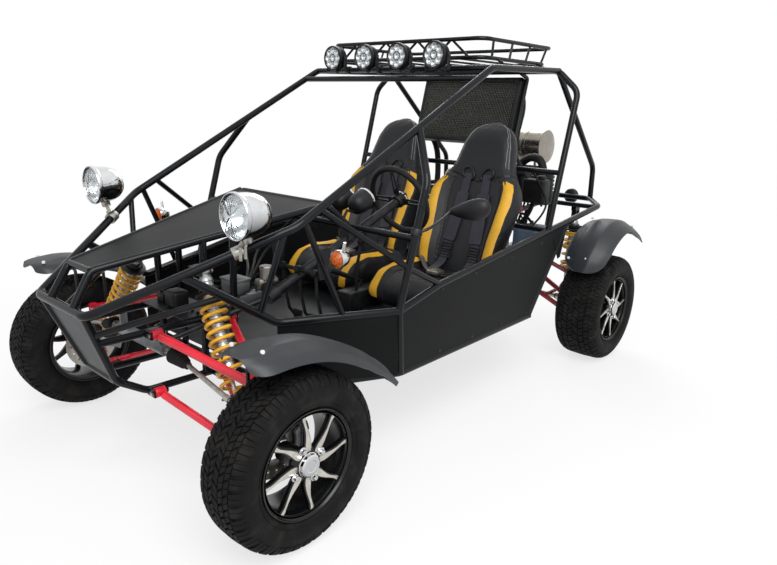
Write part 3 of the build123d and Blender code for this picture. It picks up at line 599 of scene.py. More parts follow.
def gauge_face():
    # Gauge dials: matt black card
    return surface("matt dial", srgb("#0d0d0e"), (0.6, 0.7), (12, 0.9, 1.1), (0.5, 0.01))[0]


def mesh_wire():
    # Galvanised guard wire, dulled to a greenish grey
    return surface("dull galvanised wire", srgb("#74756c"), (0.45, 0.6), (25, 0.8, 1.1), (1.0, 0.02),
        metallic=0.5)[0]


def white_paint():
    # White nylon screw heads and dial marks
    return surface("white nylon", srgb("#dcdedd"), (0.35, 0.5), (8, 0.9, 1.02), (0.6, 0.02))[0]


def battery_blue():
    # Pale blue-grey case of the battery behind the seat
    return surface("blue-grey case", srgb("#5d6c80"), (0.4, 0.5), (40, 0.85, 1.1), (1.0, 0.03))[0]


def finish(kind):
    """The material of a finish function, made once."""
    if kind.__name__ not in FINISHES:
        FINISHES[kind.__name__] = kind()
    return FINISHES[kind.__name__]


# Places taken from the frame, in metres

FX, RX = HUB["front"].x, HUB["rear"].x
CAMERA_AT, CAMERA_AZIMUTH, CAMERA_DIP, CAMERA_ROLL = (2.3638, 2.2422, 1.4459), -138.96, -15.687, 1.55
CAMERA_LENS = 29.55
FINISH_OF = {
    "frame_": powder_coat,
    "roof_rack": powder_coat,
    "side_panels": satin_panel,
    "hood": satin_panel,
    "floor_pan": dark_steel,
    "skid_plate": bare_plate,
    "steering_column": dark_steel,
    "rack_": cast_alloy,
    "tie_rods": zinc_steel,
    "front_arms": red_enamel,
    "rear_arms": dark_red_enamel,
    "dampers": damper_alloy,
    "springs": spring_enamel,
    "knuckle_": dark_steel,
    "fender_": fender_shell,
    "rear_fenders": fender_shell,
    "rear_carriers": dark_steel,
    "half_shafts": zinc_steel,
    "tyre_": tyre_rubber,
    "rim_": gloss_black,
    "engine": cast_alloy,
    "exhaust": exhaust_steel,
    "radiator": black_plastic,
    "lamp_shells": chrome,
    "roof_lamps": black_plastic,
    "lamp_lenses": clear_glass,
    "indicator_": amber_glass,
    "mirror": black_plastic,
    "seats": seat_black,
    "steering_wheel": hard_rubber,
}


class BUGGY_OT_stage(bpy.types.Operator):
    """Make the floor, the soft light and the camera at the photograph's angle"""

    bl_idname = "buggy.stage"
    bl_label = "Stage"

    def execute(self, context):
        scene = context.scene
        scene.view_settings.view_transform = "Standard"
        bpy.ops.object.camera_add(location=CAMERA_AT)
        camera = context.object
        camera.data.lens, camera.data.sensor_width = CAMERA_LENS, 36
        az, dip, roll = radians(CAMERA_AZIMUTH), radians(CAMERA_DIP), radians(CAMERA_ROLL)
        ahead = Vector((cos(az) * cos(dip), sin(az) * cos(dip), sin(dip)))
        right = ahead.cross(Vector(UP)).normalized()
        above = right.cross(ahead)
        across = right * cos(roll) + above * sin(roll)
        upward = above * cos(roll) - right * sin(roll)
        camera.rotation_euler = Matrix((across, upward, -ahead)).transposed().to_euler()
        scene.camera = camera
        self.light(context)
        self.floor()
        return {"FINISHED"}

    def light(self, context):
        """White seen by the camera, in gloss and through glass; a soft sky and two lamps light the object."""
        world = bpy.data.worlds.new("studio")
        context.scene.world = world
        world.use_nodes = True
        tree = world.node_tree
        seen = self.seen(tree)
        strength = node(tree, "MapRange", {"Value": seen, "To Min": 0.5, "To Max": 1.0}).outputs["Result"]
        sky = tree.nodes["Background"]
        sky.inputs["Color"].default_value = (1, 1, 1, 1)
        tree.links.new(strength, sky.inputs["Strength"])
        for name, place, side, power in (("key", (2.6, 3.4, 4.6), 4.0, 290),
            ("rim", (-3.6, -2.2, 3.6), 3.0, 110)):
            bpy.ops.object.light_add(type="AREA", location=place)
            lamp = context.object
            lamp.name = name
            lamp.data.size, lamp.data.energy = side, power
            lamp.rotation_euler = (Vector((0, 0, 0.7)) - Vector(place)).to_track_quat("-Z", "Y").to_euler()

    def seen(self, tree):
        """1 for rays from the camera, gloss or glass."""
        path = node(tree, "LightPath")
        first = node(tree, "Math", operation="MAXIMUM")
        tree.links.new(path.outputs["Is Camera Ray"], first.inputs[0])
        tree.links.new(path.outputs["Is Glossy Ray"], first.inputs[1])
        both = node(tree, "Math", operation="MAXIMUM")
        tree.links.new(first.outputs[0], both.inputs[0])
        tree.links.new(path.outputs["Is Transmission Ray"], both.inputs[1])
        return both.outputs[0]

    def floor(self):
        """Pale floor that keeps the shadow and fades to the white background."""
        deselect()
        bpy.ops.mesh.primitive_circle_add(vertices=128, radius=30, fill_type="NGON",
            location=(0, 0, -0.001))
        floor = bpy.context.object
        floor.name = "floor"
        material = bpy.data.materials.new("pale floor")
        material.use_nodes = True
        tree = material.node_tree
        tree.nodes["Principled BSDF"].inputs["Base Color"].default_value = (0.92, 0.92, 0.92, 1)
        tree.nodes["Principled BSDF"].inputs["Roughness"].default_value = 0.9
        where = node(tree, "TexCoord").outputs["Object"]
        away = node(tree, "VectorMath", {0: where}, operation="LENGTH").outputs["Value"]
        fade = node(tree, "MapRange", {"Value": away, "From Min": 1.6, "From Max": 3.4, "To Min": 0.72})
        share = node(tree, "Math", {0: fade.outputs["Result"], 1: self.seen(tree)},
            operation="MULTIPLY").outputs[0]
        white = node(tree, "Emission", {"Color": (1, 1, 1, 1), "Strength": 1.0}).outputs[0]
        pale = tree.nodes["Principled BSDF"].outputs[0]
        mixed = node(tree, "MixShader", {0: share, 1: pale, 2: white}).outputs[0]
        tree.links.new(mixed, tree.nodes["Material Output"].inputs["Surface"])
        floor.data.materials.append(material)
        return floor


class BUGGY_OT_frame_finish(bpy.types.Operator):
    """Give every CAD node its material"""

    bl_idname = "buggy.frame_finish"
    bl_label = "Frame finish"

    def execute(self, context):
        for name, obj in NODES.items():
            kind = next(k for start, k in FINISH_OF.items() if name.startswith(start))
            obj.data.materials.clear()
            obj.data.materials.append(finish(kind))
        return {"FINISHED"}


# Wheels


def on_tread(line, s, angle, hub, side):
    """Point on a tyre: s along the section's line from the middle, angle round the axle."""
    left = s
    for (a0, r0), (a1, r1) in zip(line, line[1:]):
        step = sqrt((a1 - a0) ** 2 + (r1 - r0) ** 2)
        if left <= step or (a1, r1) == line[-1]:
            t = left / step
            a, r = lerp(a0, a1, t), lerp(r0, r1, t)
            return Vector((hub.x + r * sin(angle), hub.y + side * a, hub.z + r * cos(angle)))
        left -= step


class BUGGY_OT_tyres(bpy.types.Operator):
    """Model the four tyres: a turned carcass with rows of tread blocks"""

    bl_idname = "buggy.tyres"
    bl_label = "Tyres"

    def execute(self, context):
        for end in ENDS:
            tyre = join(f"tyre_{end}", [self.carcass(end), self.tread(end)])
            pair_names = [f"tyre_{end}_left", f"tyre_{end}_right"]
            right = copy_of(tyre, pair_names[1] + "_rubber", spun((HUB[end].x, 0, 0), UP, pi))
            tyre.name = pair_names[0] + "_rubber"
            for obj, cad in zip((tyre, right), pair_names):
                dress(obj, tyre_rubber, "tyre_rubber", 28, [cad], body=cad.replace("tyre", "wheel"))
        return {"FINISHED"}

    def carcass(self, end):
        half, depth = size(f"tyre_{end}_left").y / 2, sizes().tread_depth
        flank = [(0, TYRE_R - depth), (half * 0.5, TYRE_R - depth - 0.002),
            (half - 0.034, TYRE_R - depth - 0.006), (half - 0.022, 0.2915), (half - 0.013, 0.282),
            (half - 0.008, 0.2755), (half - 0.0062, 0.274), (half - 0.0035, 0.2732),
            (half - 0.0035, 0.2712), (half - 0.0062, 0.2704), (half - 0.004, 0.265), (half - 0.001, 0.252),
            (half, 0.24), (half - 0.0015, 0.228), (half - 0.006, 0.215), (half - 0.0072, 0.2122),
            (half - 0.0052, 0.2112), (half - 0.0052, 0.209), (half - 0.0085, 0.2078),
            (half - 0.014, 0.2005), (half - 0.0185, 0.1955), (half - 0.022, 0.194), (half - 0.022, 0.1745)]
        ring = [(r, a) for a, r in flank] + [(r, -a) for a, r in reversed(flank[1:])]
        return turned("carcass", ring, HUB[end], LEFT, 96)

    def tread(self, end):
        """One pitch of blocks, rows from the middle out to lugs on the shoulder, then spun round the tyre."""
        half, count, hub = size(f"tyre_{end}_left").y / 2, sizes().tread_pitches, HUB[end]
        line = [(0, TYRE_R), (half - 0.05, TYRE_R - 0.0025), (half - 0.031, TYRE_R - 0.007),
            (half - 0.02, 0.2975), (half - 0.011, 0.287), (half - 0.0045, 0.276), (half - 0.001, 0.262)]
        pitch = tau / count
        edge = half - 0.0325
        rows = (  # from and to across, start angles at the two edges, length, shift along the tyre
            (0.0015, edge * 0.31, 0.05, 0.40, 0.78, 0), (edge * 0.37, edge * 0.66, 0.36, 0.06, 0.8, 0.2),
            (edge * 0.72, edge * 0.97, 0.16, -0.1, 0.8, 0.62),
            (edge * 1.03, edge + 0.05, 0.1, 0.02, 0.72, 0.25),
        )
        blocks = []
        for side in (1, -1):
            for s0, s1, start0, start1, long, shift in rows:
                for cut in (0, 1):  # the two halves of a block, either side of its sipe
                    grid = []
                    for i in range(4):
                        t = i / 3
                        first = lerp(start0, start1, t) + shift + (0.5 if side < 0 else 0)
                        split = long * lerp(0.44, 0.6, t)
                        a, b = (first, first + split - 0.025) if cut == 0 else (first + split + 0.025,
                            first + long)
                        grid.append([on_tread(line, lerp(s0, s1, t), pitch * k, hub, side) for k in (a, b)])
                    centre = sum((p for row in grid for p in row), Vector()) / 8
                    blocks.append(skin("block", grid, ring=False, out=centre - hub))
        blocks = join("tread", blocks)
        modify(blocks, "SOLIDIFY", thickness=sizes().tread_depth + 0.002, offset=-1)
        bevel(blocks, 0.0011, 1, 40)
        enter(blocks)
        bpy.ops.mesh.spin(steps=count - 1, angle=pitch * (count - 1), dupli=True, center=hub, axis=LEFT)
        leave()
        return blocks


class BUGGY_OT_rims(bpy.types.Operator):
    """Model the wheels: black barrel and arms, machined spoke faces, nuts, cap and brake disc"""

    bl_idname = "buggy.rims"
    bl_label = "Rims"
    blade_left = ((-10.5, 46), (-13, 56), (-13.5, 70), (-10.5, 89), (-5, 110), (2, 131), (8, 151), (9, 164),
        (7.5, 176))
    blade_right = ((23, 175), (21.5, 163), (16, 147), (10.5, 127), (8.5, 109), (9, 90), (10.5, 70),
        (9.5, 56), (6, 46))

    def execute(self, context):
        for end in ENDS:
            for name, piece, kind, slot, angle in self.pieces(end):
                right = copy_of(piece, f"{name}_{end}_right", spun((HUB[end].x, 0, 0), UP, pi))
                piece.name = f"{name}_{end}_left"
                for obj, side in ((piece, "left"), (right, "right")):
                    stands = [f"rim_{end}_{side}"] if name == "rim_barrel" else ()
                    dress(obj, kind, slot, angle, stands, body=f"wheel_{end}_{side}")
        return {"FINISHED"}

    def pieces(self, end):
        hub, half = HUB[end], size(f"tyre_{end}_left").y / 2
        bead = half - 0.022
        face = bead - 0.003
        wall = [(0.1737, bead), (0.1915, bead), (0.192, bead + 0.003), (0.1912, bead + 0.007),
            (0.189, bead + 0.0085), (0.1865, bead + 0.0075), (0.1845, bead + 0.004), (0.182, bead + 0.001),
            (0.178, bead - 0.003), (0.1725, bead - 0.008), (0.1695, bead - 0.018), (0.1675, bead - 0.03),
            (0.1665, bead - 0.055), (0.166, 0), (0.166, -bead + 0.02), (0.173, -bead - 0.002),
            (0.183, -bead - 0.004), (0.186, -bead - 0.009), (0.191, -bead - 0.009), (0.192, -bead - 0.0005),
            (0.1737, -bead), (0.1737, 0)]
        barrel = turned("rim_barrel", wall, hub, LEFT, 72)
        yield "rim_barrel", join("rim_barrel",
            [barrel, self.spider(hub, face), self.dish(hub, face)]), gloss_black, "rim_alloy", 30
        yield "rim_blades", self.blades(hub, face), machined_alloy, "rim_alloy", 30
        yield "rim_nuts", self.nuts(hub, face), chrome, "rim_alloy", 20
        yield "brake_disc", self.disc(hub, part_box(f"rim_{end}_left")[0].y + 0.018), zinc_steel, "steel", 30

    def blade(self, hub, y, grow, deep, edge):
        """One S-curved arm outline widened by grow, pushed inboard by deep."""
        points = [(x - grow, r) for x, r in self.blade_left] + [(x + grow, r) for x, r in self.blade_right]
        outline = [Vector((hub.x + x / 1000, hub.y + y, hub.z + r / 1000)) for x, r in points]
        return plate("arm", outline, (0, -deep, 0), edge, 2)

    def around(self, name, piece, hub, count, first=0):
        turns = [copy_of(piece, name, spun(hub, LEFT, first + tau * i / count)) for i in range(count)]
        bpy.data.objects.remove(piece)
        return join(name, turns)

    def spider(self, hub, face):
        return self.around("spider", self.blade(hub, face - 0.0015, 4.5, 0.02, 0.003), hub, 8)

    def dish(self, hub, face):
        """Hub disc behind the spokes, with its bore to the bearing."""
        ring = [(0, face - 0.002), (0.046, face - 0.002), (0.058, face - 0.006), (0.064, face - 0.013),
            (0.064, face - 0.024), (0.05, face - 0.03), (0.036, face - 0.045), (0.034, -0.05), (0, -0.05)]
        return turned("dish", ring, hub, LEFT, 48)

    def blades(self, hub, face):
        return self.around("rim_blades", self.blade(hub, face + 0.0015, 0, 0.0045, 0.0009), hub, 8)

    def nuts(self, hub, face):
        """Four cone nuts on the spokes and a faceted cap over the hub."""
        flat = 0.0095
        hexagon = [Vector((hub.x + flat * sin(pi / 3 * i), hub.y + face - 0.002,
            hub.z + 0.061 + flat * cos(pi / 3 * i))) for i in range(6)]
        nut = plate("nut", hexagon, (0, 0.016, 0), 0.0022, 2)
        seat = turned("seat", [(0, face - 0.002), (0.0145, face - 0.002), (0.0145, face + 0.002),
            (0.012, face + 0.0035), (0, face + 0.0035)], hub + Vector((0, 0, 0.061)), LEFT, 24)
        nuts = self.around("rim_nuts", join("nut", [nut, seat]), hub, 4, pi / 8)
        cap = turned("cap", [(0, face - 0.004), (0.043, face - 0.004), (0.043, face + 0.003),
            (0.0405, face + 0.005), (0.039, face + 0.015), (0.0345, face + 0.0185), (0.022, face + 0.0195),
            (0.02, face + 0.0185), (0, face + 0.0185)], hub, LEFT, 14)
        return join("rim_nuts", [nuts, cap])

    def disc(self, hub, y):
        """Brake disc with a ring of drilled holes."""
        ring = even((50, -4), (72, -4), (74, -3), (118, -3), (119, -2))
        place = Vector((hub.x, y, hub.z))
        disc = turned("brake_disc", ring, place, LEFT, 64)
        drill = turned("drill", even((0, -20), (4.5, -20)), place + Vector((0, 0, 0.094)), LEFT, 10)
        drills = self.around("drills", drill, place, 16)
        modify(disc, "BOOLEAN", object=drills, operation="DIFFERENCE", solver="EXACT")
        bpy.data.objects.remove(drills)
        return disc


# Fenders


class BUGGY_OT_fenders(bpy.types.Operator):
    """Model the four fenders as creased shells with dome screws"""

    bl_idname = "buggy.fenders"
    bl_label = "Fenders"

    def execute(self, context):
        low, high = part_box("fender_front_left")
        centre, radius = Vector((FX + 0.104, 0, 0.08)), 0.66
        inner = ((0, 0.2), (0.02, 0.07), (0.05, 0.015), (0.09, 0), (0.44, 0), (0.6, 0.12), (0.75, 0.37),
            (0.9, 0.7), (1, 0.92))
        outer = ((0, 0.8), (0.02, 0.92), (0.05, 0.975), (0.1, 1.0), (0.6, 1.0), (0.8, 0.99), (0.92, 0.975),
            (1, 0.96))
        shell = self.shell("fender_front", centre, radius, (9.4, -53.2), (low.y + 0.001, high.y - 0.001),
            inner, outer, (0.2, 0.82))
        pair(shell, fender_shell, "fender_plastic", 40, ["fender_front_left"], body="knuckle_left")
        screws = [self.on_shell(centre, radius, a, y) for a, y in ((5.5, 0.70), (3.4, 0.82), (-33, 0.815))]
        pair(self.domes("fender_front_screws", screws), white_paint, "fender_plastic", 40,
            body="knuckle_left")
        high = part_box("rear_fenders")[1]
        centre, radius = Vector((RX - 0.024, 0, 0.486)), 0.345
        inner = ((0, 0.3), (0.04, 0.12), (0.1, 0.03), (0.2, 0), (0.85, 0), (1, 0.04))
        outer = ((0, 0.66), (0.04, 0.84), (0.1, 0.93), (0.2, 0.98), (0.4, 1.0), (1, 1.0))
        shell = self.shell("fender_rear", centre, radius, (75.8, -47.8), (0.651, high.y - 0.001), inner,
            outer, (0.12, 1.2))
        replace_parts(pair(shell, fender_shell, "fender_plastic", 40)[0], "rear_fenders")
        screws = [self.on_shell(centre, radius, a, y)
            for a, y in ((64, 0.70), (62, 0.80), (2, 0.69), (-24, 0.69), (-30, 0.86))]
        pair(self.domes("fender_rear_screws", screws), white_paint, "fender_plastic", 40)
        return {"FINISHED"}

    def on_shell(self, centre, radius, angle, y):
        a = radians(angle)
        way = Vector((sin(a), 0, cos(a)))
        return centre + Vector((0, y, 0)) + way * (radius - 0.0055), way

    def shell(self, name, centre, radius, sweep, width, inner, outer, plateau):
        """Strip along an arc: crowned, with a raised middle and an outer flank that turns down."""
        rows, steps = [], 34
        lift = ((0, -0.044), (0.05, -0.026), (0.14, -0.012), (0.3, -0.005), (0.5, -0.001), (0.7, 0),
            (0.72, -0.002), (0.86, -0.02), (0.96, -0.038), (1, -0.048))
        columns = (0, 0.025, 0.06, 0.12, 0.2, 0.26, 0.3, 0.4, 0.5, 0.6, 0.68, 0.705, 0.73, 0.8, 0.88, 0.95,
            1)
        for i in range(steps + 1):
            t = i / steps
            a = radians(lerp(*sweep, t))
            y0, y1 = (lerp(*width, table_at(table, t)) for table in (inner, outer))
            bulge = table_at(((plateau[0] - 0.12, 0), (plateau[0], 1), (plateau[1], 1),
                (plateau[1] + 0.16, 0)), t)
            narrow = (y1 - y0) / (width[1] - width[0])
            row = []
            for q in columns:
                drop = table_at(lift, q) * (0.35 + 0.65 * min(1, narrow * 1.3))
                drop -= 0.006 * (1 - bulge * table_at(((0.24, 0), (0.3, 1), (0.68, 1), (0.71, 0)), q))
                r = radius + min(drop, -0.0005)
                row.append(centre + Vector((r * sin(a), lerp(y0, y1, q), r * cos(a))))
            rows.append(row)
        obj = skin(name, rows, ring=False, out=(0.2, 0, 1))
        modify(obj, "SOLIDIFY", thickness=0.0045, offset=-1)
        bevel(obj, 0.0012, 2, 60)
        return smooth(obj, 1)

    def domes(self, name, screws):
        head = turned("dome", mm((0, -6), (7.5, -6), (7.5, 1.2), (6, 3.6), (3, 5), (0, 5.4)), steps=16)
        made = [copy_of(head, name, to_axis(place, way)) for place, way in screws]
        bpy.data.objects.remove(head)
        return join(name, made)


# Seats

SEAT = Vector((-0.052, 0.32, 0.4476))  # rear middle of the left seat's base is 0.4 behind this point
LEAN = radians(19)
BACK_WIDTH = ((0.03, 0.215), (0.12, 0.235), (0.28, 0.245), (0.4, 0.26), (0.5, 0.275), (0.57, 0.272),
    (0.62, 0.248), (0.66, 0.208), (0.72, 0.187), (0.8, 0.173), (0.86, 0.153), (0.91, 0.12), (0.945, 0.074),
    (0.96, 0.034), (0.966, 0.012))
BACK_WING = ((0.03, 0.045), (0.2, 0.085), (0.42, 0.085), (0.55, 0.068), (0.63, 0.03), (0.69, 0))
BACK_DEPTH = ((0.03, 0.07), (0.2, 0.084), (0.45, 0.078), (0.6, 0.084), (0.68, 0.095), (0.84, 0.095),
    (0.92, 0.078), (0.966, 0.045))
BACK_REAR = ((0.86, 0), (0.93, 0.012), (0.966, 0.036))
BACK_ROWS = (0.03, 0.06, 0.12, 0.2, 0.28, 0.36, 0.44, 0.5, 0.55, 0.6, 0.64, 0.68, 0.73, 0.79, 0.84, 0.88,
    0.915, 0.94, 0.955, 0.963, 0.966)
BASE_TOP = ((-0.395, 0.1), (-0.36, 0.118), (-0.2, 0.122), (-0.05, 0.142), (0.03, 0.15), (0.07, 0.135),
    (0.09, 0.105), (0.098, 0.08))
BASE_LOW = ((-0.395, 0.03), (-0.36, 0.004), (0.03, 0), (0.07, 0.01), (0.09, 0.035), (0.098, 0.06))
BASE_WING = ((-0.395, 0.03), (-0.3, 0.07), (-0.1, 0.062), (0.02, 0.03), (0.07, 0.008), (0.1, 0))
BASE_ROWS = (-0.395, -0.385, -0.36, -0.3, -0.22, -0.14, -0.06, 0, 0.035, 0.06, 0.08, 0.092, 0.098)
BASE_HALF = 0.247
# Half a section: share of the width, share of the thickness, share of the wing
SECTION = ((0, 1, 0), (0.3, 1, 0), (0.52, 1, 0.05), (0.66, 1, 0.35), (0.78, 1, 0.85), (0.88, 1, 1),
    (0.965, 1, 0.8), (1, 0.62, 0.45), (0.985, 0.3, 0.1), (0.93, 0.08, 0), (0.7, 0, 0), (0.35, 0, 0),
    (0, 0, 0))

WING_SHARE = [(w, k) for w, t, k in SECTION[:7]]


def on_back(u, y, v):
    """Place on a seat back: u ahead of its rear face, y across, v up along it."""
    return SEAT + Vector((-0.39 + u * cos(LEAN) - v * sin(LEAN), y, u * sin(LEAN) + v * cos(LEAN)))


def back_face(share, v, lift=0):
    """Place on the front of a seat back, at a share of its half width."""
    wing = table_at(WING_SHARE, abs(share))
    return on_back(table_at(BACK_DEPTH, v) + wing * table_at(BACK_WING, v) + lift,
        share * table_at(BACK_WIDTH, v), v)


def base_face(share, x, lift=0):
    """Place on the top of a seat base, at a share of its half width."""
    wing = table_at(WING_SHARE, abs(share))
    return SEAT + Vector((x, share * BASE_HALF,
        table_at(BASE_TOP, x) + wing * table_at(BASE_WING, x) + lift))


def settled(pad, place, lift):
    """The nearest place on a cushion, lifted off it."""
    spot, normal = pad.closest_point_on_mesh(place)[1:3]
    return spot + normal * lift


def full_section():
    return [*SECTION] + [(-w, t, k) for w, t, k in reversed(SECTION[1:-1])]


def swell(obj, cap):
    """Fills a cushion: cloth under inner pressure, each point held within the cap."""
    modify(obj, "REMESH", mode="VOXEL", voxel_size=0.008)
    rest = [v.co.copy() for v in obj.data.vertices]
    choose(obj)
    cloth = obj.modifiers.new("cloth", "CLOTH")
    cloth.settings.use_pressure, cloth.settings.uniform_pressure_force = True, 4.0
    cloth.settings.effector_weights.gravity = 0.0
    for step in range(1, 21):
        bpy.context.scene.frame_set(step)
    bpy.ops.object.modifier_apply(modifier=cloth.name)
    bpy.context.scene.frame_set(1)
    for vertex, start in zip(obj.data.vertices, rest):
        move = vertex.co - start
        if move.length > cap:
            vertex.co = start + move * (cap / move.length)
    return obj


def groove(obj, depth, width, distance):
    """Pulls a sewn seam in: distance gives how far a point lies from the seam, or None away from it."""
    for vertex in obj.data.vertices:
        away = distance(vertex.co)
        if away is not None and abs(away) < 3 * width:
            vertex.co -= vertex.normal * depth * 2.718 ** (-((away / width) ** 2))
    return obj


def laid_on(obj, under, lift, thick):
    """Drapes a strip on a cushion and gives it its thickness."""
    modify(obj, "SHRINKWRAP", target=under, wrap_method="NEAREST_SURFACEPOINT", wrap_mode="ABOVE_SURFACE",
        offset=lift)
    return modify(obj, "SOLIDIFY", thickness=thick, offset=0)


class BUGGY_OT_seats(bpy.types.Operator):
    """Model the two bucket seats: swelled cushions, golden bands, seams and stitching"""

    bl_idname = "buggy.seats"
    bl_label = "Seats"

    def execute(self, context):
        back = skin("seat_back", [[on_back(lerp(table_at(BACK_REAR, v), table_at(BACK_DEPTH, v),
            t) + k * table_at(BACK_WING, v), w * table_at(BACK_WIDTH, v), v) for w, t, k in full_section()]
            for v in BACK_ROWS])
        base = skin("seat_base", [[SEAT + Vector((x, w * BASE_HALF,
            lerp(table_at(BASE_LOW, x), table_at(BASE_TOP, x), t) + k * table_at(BASE_WING, x)))
            for w, t, k in full_section()] for x in BASE_ROWS])
        for pad in (back, base):
            smooth(pad, 2)
            swell(pad, 0.012)
        groove(back, 0.006, 0.005, self.back_seam)
        groove(base, 0.006, 0.005, self.base_seam)
        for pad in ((back, base)):
            smooth(pad)
        bands = self.bands(back, base)
        sewn = self.sewing(back)
        for pad in (back, base):
            for obj in pair(pad, seat_black, "seat_leatherette", 60):
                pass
        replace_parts(back, "seats")
        for obj in pair(bands, seat_yellow, "seat_leatherette", 60):
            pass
        pair(sewn, thread, "seat_leatherette", 60)
        return {"FINISHED"}

    def back_seam(self, place):
        """Distance from the seams of the back: beside the wings, and across under the head."""
        local = place - SEAT + Vector((0.39, 0, 0))
        u, v = local.x * cos(LEAN) + local.z * sin(LEAN), local.z * cos(LEAN) - local.x * sin(LEAN)
        if u < 0.05:
            return None
        beside = abs(local.y) - 0.57 * table_at(BACK_WIDTH, v)
        across = v - 0.6 - 0.25 * abs(local.y)
        if v > 0.62 or (abs(across) < abs(beside) and beside < 0):
            return across
        return beside

    def base_seam(self, place):
        local = place - SEAT
        return abs(local.y) - 0.57 * BASE_HALF if local.z > 0.03 else None

    def bands(self, back, base):
        """Golden bands along the wings of the back and over the front roll of the base."""
        strips, shares = [], [0.73 + 0.04 * k for k in range(7)]
        for side in (1, -1):
            rows = [[back_face(side * w, 0.05 + 0.565 * i / 48, 0.004) for w in shares] for i in range(49)]
            strips.append(laid_on(skin("band", rows, ring=False, out=(1, 0, 0.3)), back, 0.0024, 0.0035))
            rows = [[base_face(side * w, -0.33 + 0.42 * i / 32, 0.004) for w in shares] for i in range(33)]
            roll = [SEAT + Vector((0.1, 0, z)) for z in (0.092, 0.082, 0.072, 0.062, 0.052, 0.042, 0.034)]
            rows += [[p + Vector((0, side * w * BASE_HALF, 0)) for w in shares] for p in roll]
            strips.append(laid_on(skin("band", rows, ring=False, out=(0.3, 0, 1)), base, 0.0024, 0.0035))
        return join("seat_bands", strips)

    def sewing(self, back):
        """Twin pale seam round the head, drawn as thick as it needs to show."""
        rows = []
        for inset in (0.9, 0.8):
            arc = [back_face(inset, 0.69 + 0.25 * i / 24, 0.004) for i in range(25)]
            line = arc + [Vector((p.x, 2 * SEAT.y - p.y, p.z)) for p in reversed(arc)]
            rows.append(pipe("seam", [settled(back, p, 0.0005) for p in line], sizes().stitch, sides=3))
        return join("seat_stitches", rows)


class BUGGY_OT_harness(bpy.types.Operator):
    """Model the four-point harnesses: webbing, pads, slot frames, adjusters and buckles"""

    bl_idname = "buggy.harness"
    bl_label = "Harness"

    def execute(self, context):
        wide = sizes().web_width / 2
        web, pads, plastic = [], [], []
        back = bpy.data.objects["seat_back_left"]
        for side in (1, -1):
            shoulder = [(0.67, 0.06, -0.02), (0.655, 0.06, 0.004), (0.6, 0.062, 0.004), (0.5, 0.068, 0.004),
                (0.35, 0.08, 0.004), (0.22, 0.09, 0.005), (0.14, 0.094, 0.008)]
            line = [on_back(table_at(BACK_DEPTH, v) + lift, side * y, v) for v, y, lift in shoulder[:1]]
            line += [settled(back, back_face(side * y / table_at(BACK_WIDTH, v), v), lift)
                for v, y, lift in shoulder[1:]]
            line += [SEAT + Vector((x, side * y, z))
                for x, y, z in ((-0.25, 0.09, 0.152), (-0.2, 0.06, 0.15), (-0.16, 0.03, 0.152))]
            web.append(self.strap("web", line, wide))
            chest = ((0.54, 0.066), (0.48, 0.069), (0.4, 0.075), (0.32, 0.082), (0.27, 0.087))
            line = [settled(back, back_face(side * y / table_at(BACK_WIDTH, v), v), 0.009)
                for v, y in chest]
            pads.append(self.strap("pad", line, wide * 1.45, 0.009))
            lap = [(-0.33, 0.245, 0.13), (-0.31, 0.235, 0.19), (-0.28, 0.19, 0.2), (-0.24, 0.14, 0.17),
                (-0.2, 0.09, 0.155), (-0.165, 0.03, 0.152)]
            web.append(self.strap("web", [SEAT + Vector((x, side * y, z)) for x, y, z in lap], wide,
                turn=(0.9, -side * 0.3, 0.3)))
            plastic.append(self.slot_frame(back, side))
            plastic += [self.ladder(settled(back, back_face(side * 0.37, v), 0.009)) for v in (0.19, 0.235)]
        for obj in pair(join("harness_pads", pads), webbing, "seat_leatherette", 50):
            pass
        pair(join("harness_webbing", web), webbing, "seat_leatherette", 50)
        pair(join("harness_fittings", plastic), black_plastic, "mirror_black", 40)
        pair(self.buckle(), zinc_steel, "steel", 40)
        return {"FINISHED"}

    def strap(self, name, line, wide, thick=0.0026, turn=(0, 1, 0)):
        """Flat webbing along a line, its width square to the run."""
        rows = []
        for i, place in enumerate(line):
            run = line[min(i + 1, len(line) - 1)] - line[max(i - 1, 0)]
            across = Vector(turn)
            across = (across - run * (across.dot(run) / run.length_squared)).normalized()
            rows.append([place + across * wide * k for k in (-1, -0.94, 0, 0.94, 1)])
        obj = smooth(skin(name, rows, ring=False, out=(1, 0, 0.6)), 2)
        return modify(obj, "SOLIDIFY", thickness=thick, offset=0)

    def slot_frame(self, back, side):
        """Moulded frame round a harness slot under the head."""
        corners = ((0.018, 0.628), (0.03, 0.66), (0.062, 0.684), (0.092, 0.672), (0.1, 0.645),
            (0.075, 0.622), (0.04, 0.616))
        line = [settled(back, back_face(side * y / table_at(BACK_WIDTH, v), v), 0.002) for y, v in corners]
        return pipe("slot_frame", line, 0.0075, closed=True, curved=True, sides=6)

    def ladder(self, place):
        """Three-bar adjuster on a strap."""
        turn = Matrix.Translation(place) @ Matrix.Rotation(-LEAN, 4, "Y")
        half = sizes().web_width / 2 + 0.007
        bars = [pipe("bar", [turn @ Vector((0, -half, z)), turn @ Vector((0, half, z))], 0.0032)
            for z in (-0.016, 0, 0.016)]
        bars += [pipe("bar", [turn @ Vector((0, y, -0.018)), turn @ Vector((0, y, 0.018))], 0.0036)
            for y in (-half, half)]
        return join("ladder", bars)

    def buckle(self):
        """Latch box with its lift lever, lying on the base cushion."""
        place = SEAT + Vector((-0.16, 0, 0.16))
        box = plate("harness_buckle", [place + Vector((x, y, -0.008)) for x, y in oblong(0.032, 0.036)],
            (0, 0, 0.022), 0.004, 3)
        lever = plate("lever", [place + Vector((x, y, 0.012))
            for x, y in ((-0.026, -0.02), (0.022, -0.024), (0.022, 0.024), (-0.026, 0.02))], (0, 0, 0.007),
            0.002, 2)
        return join("harness_buckle", [box, lever])


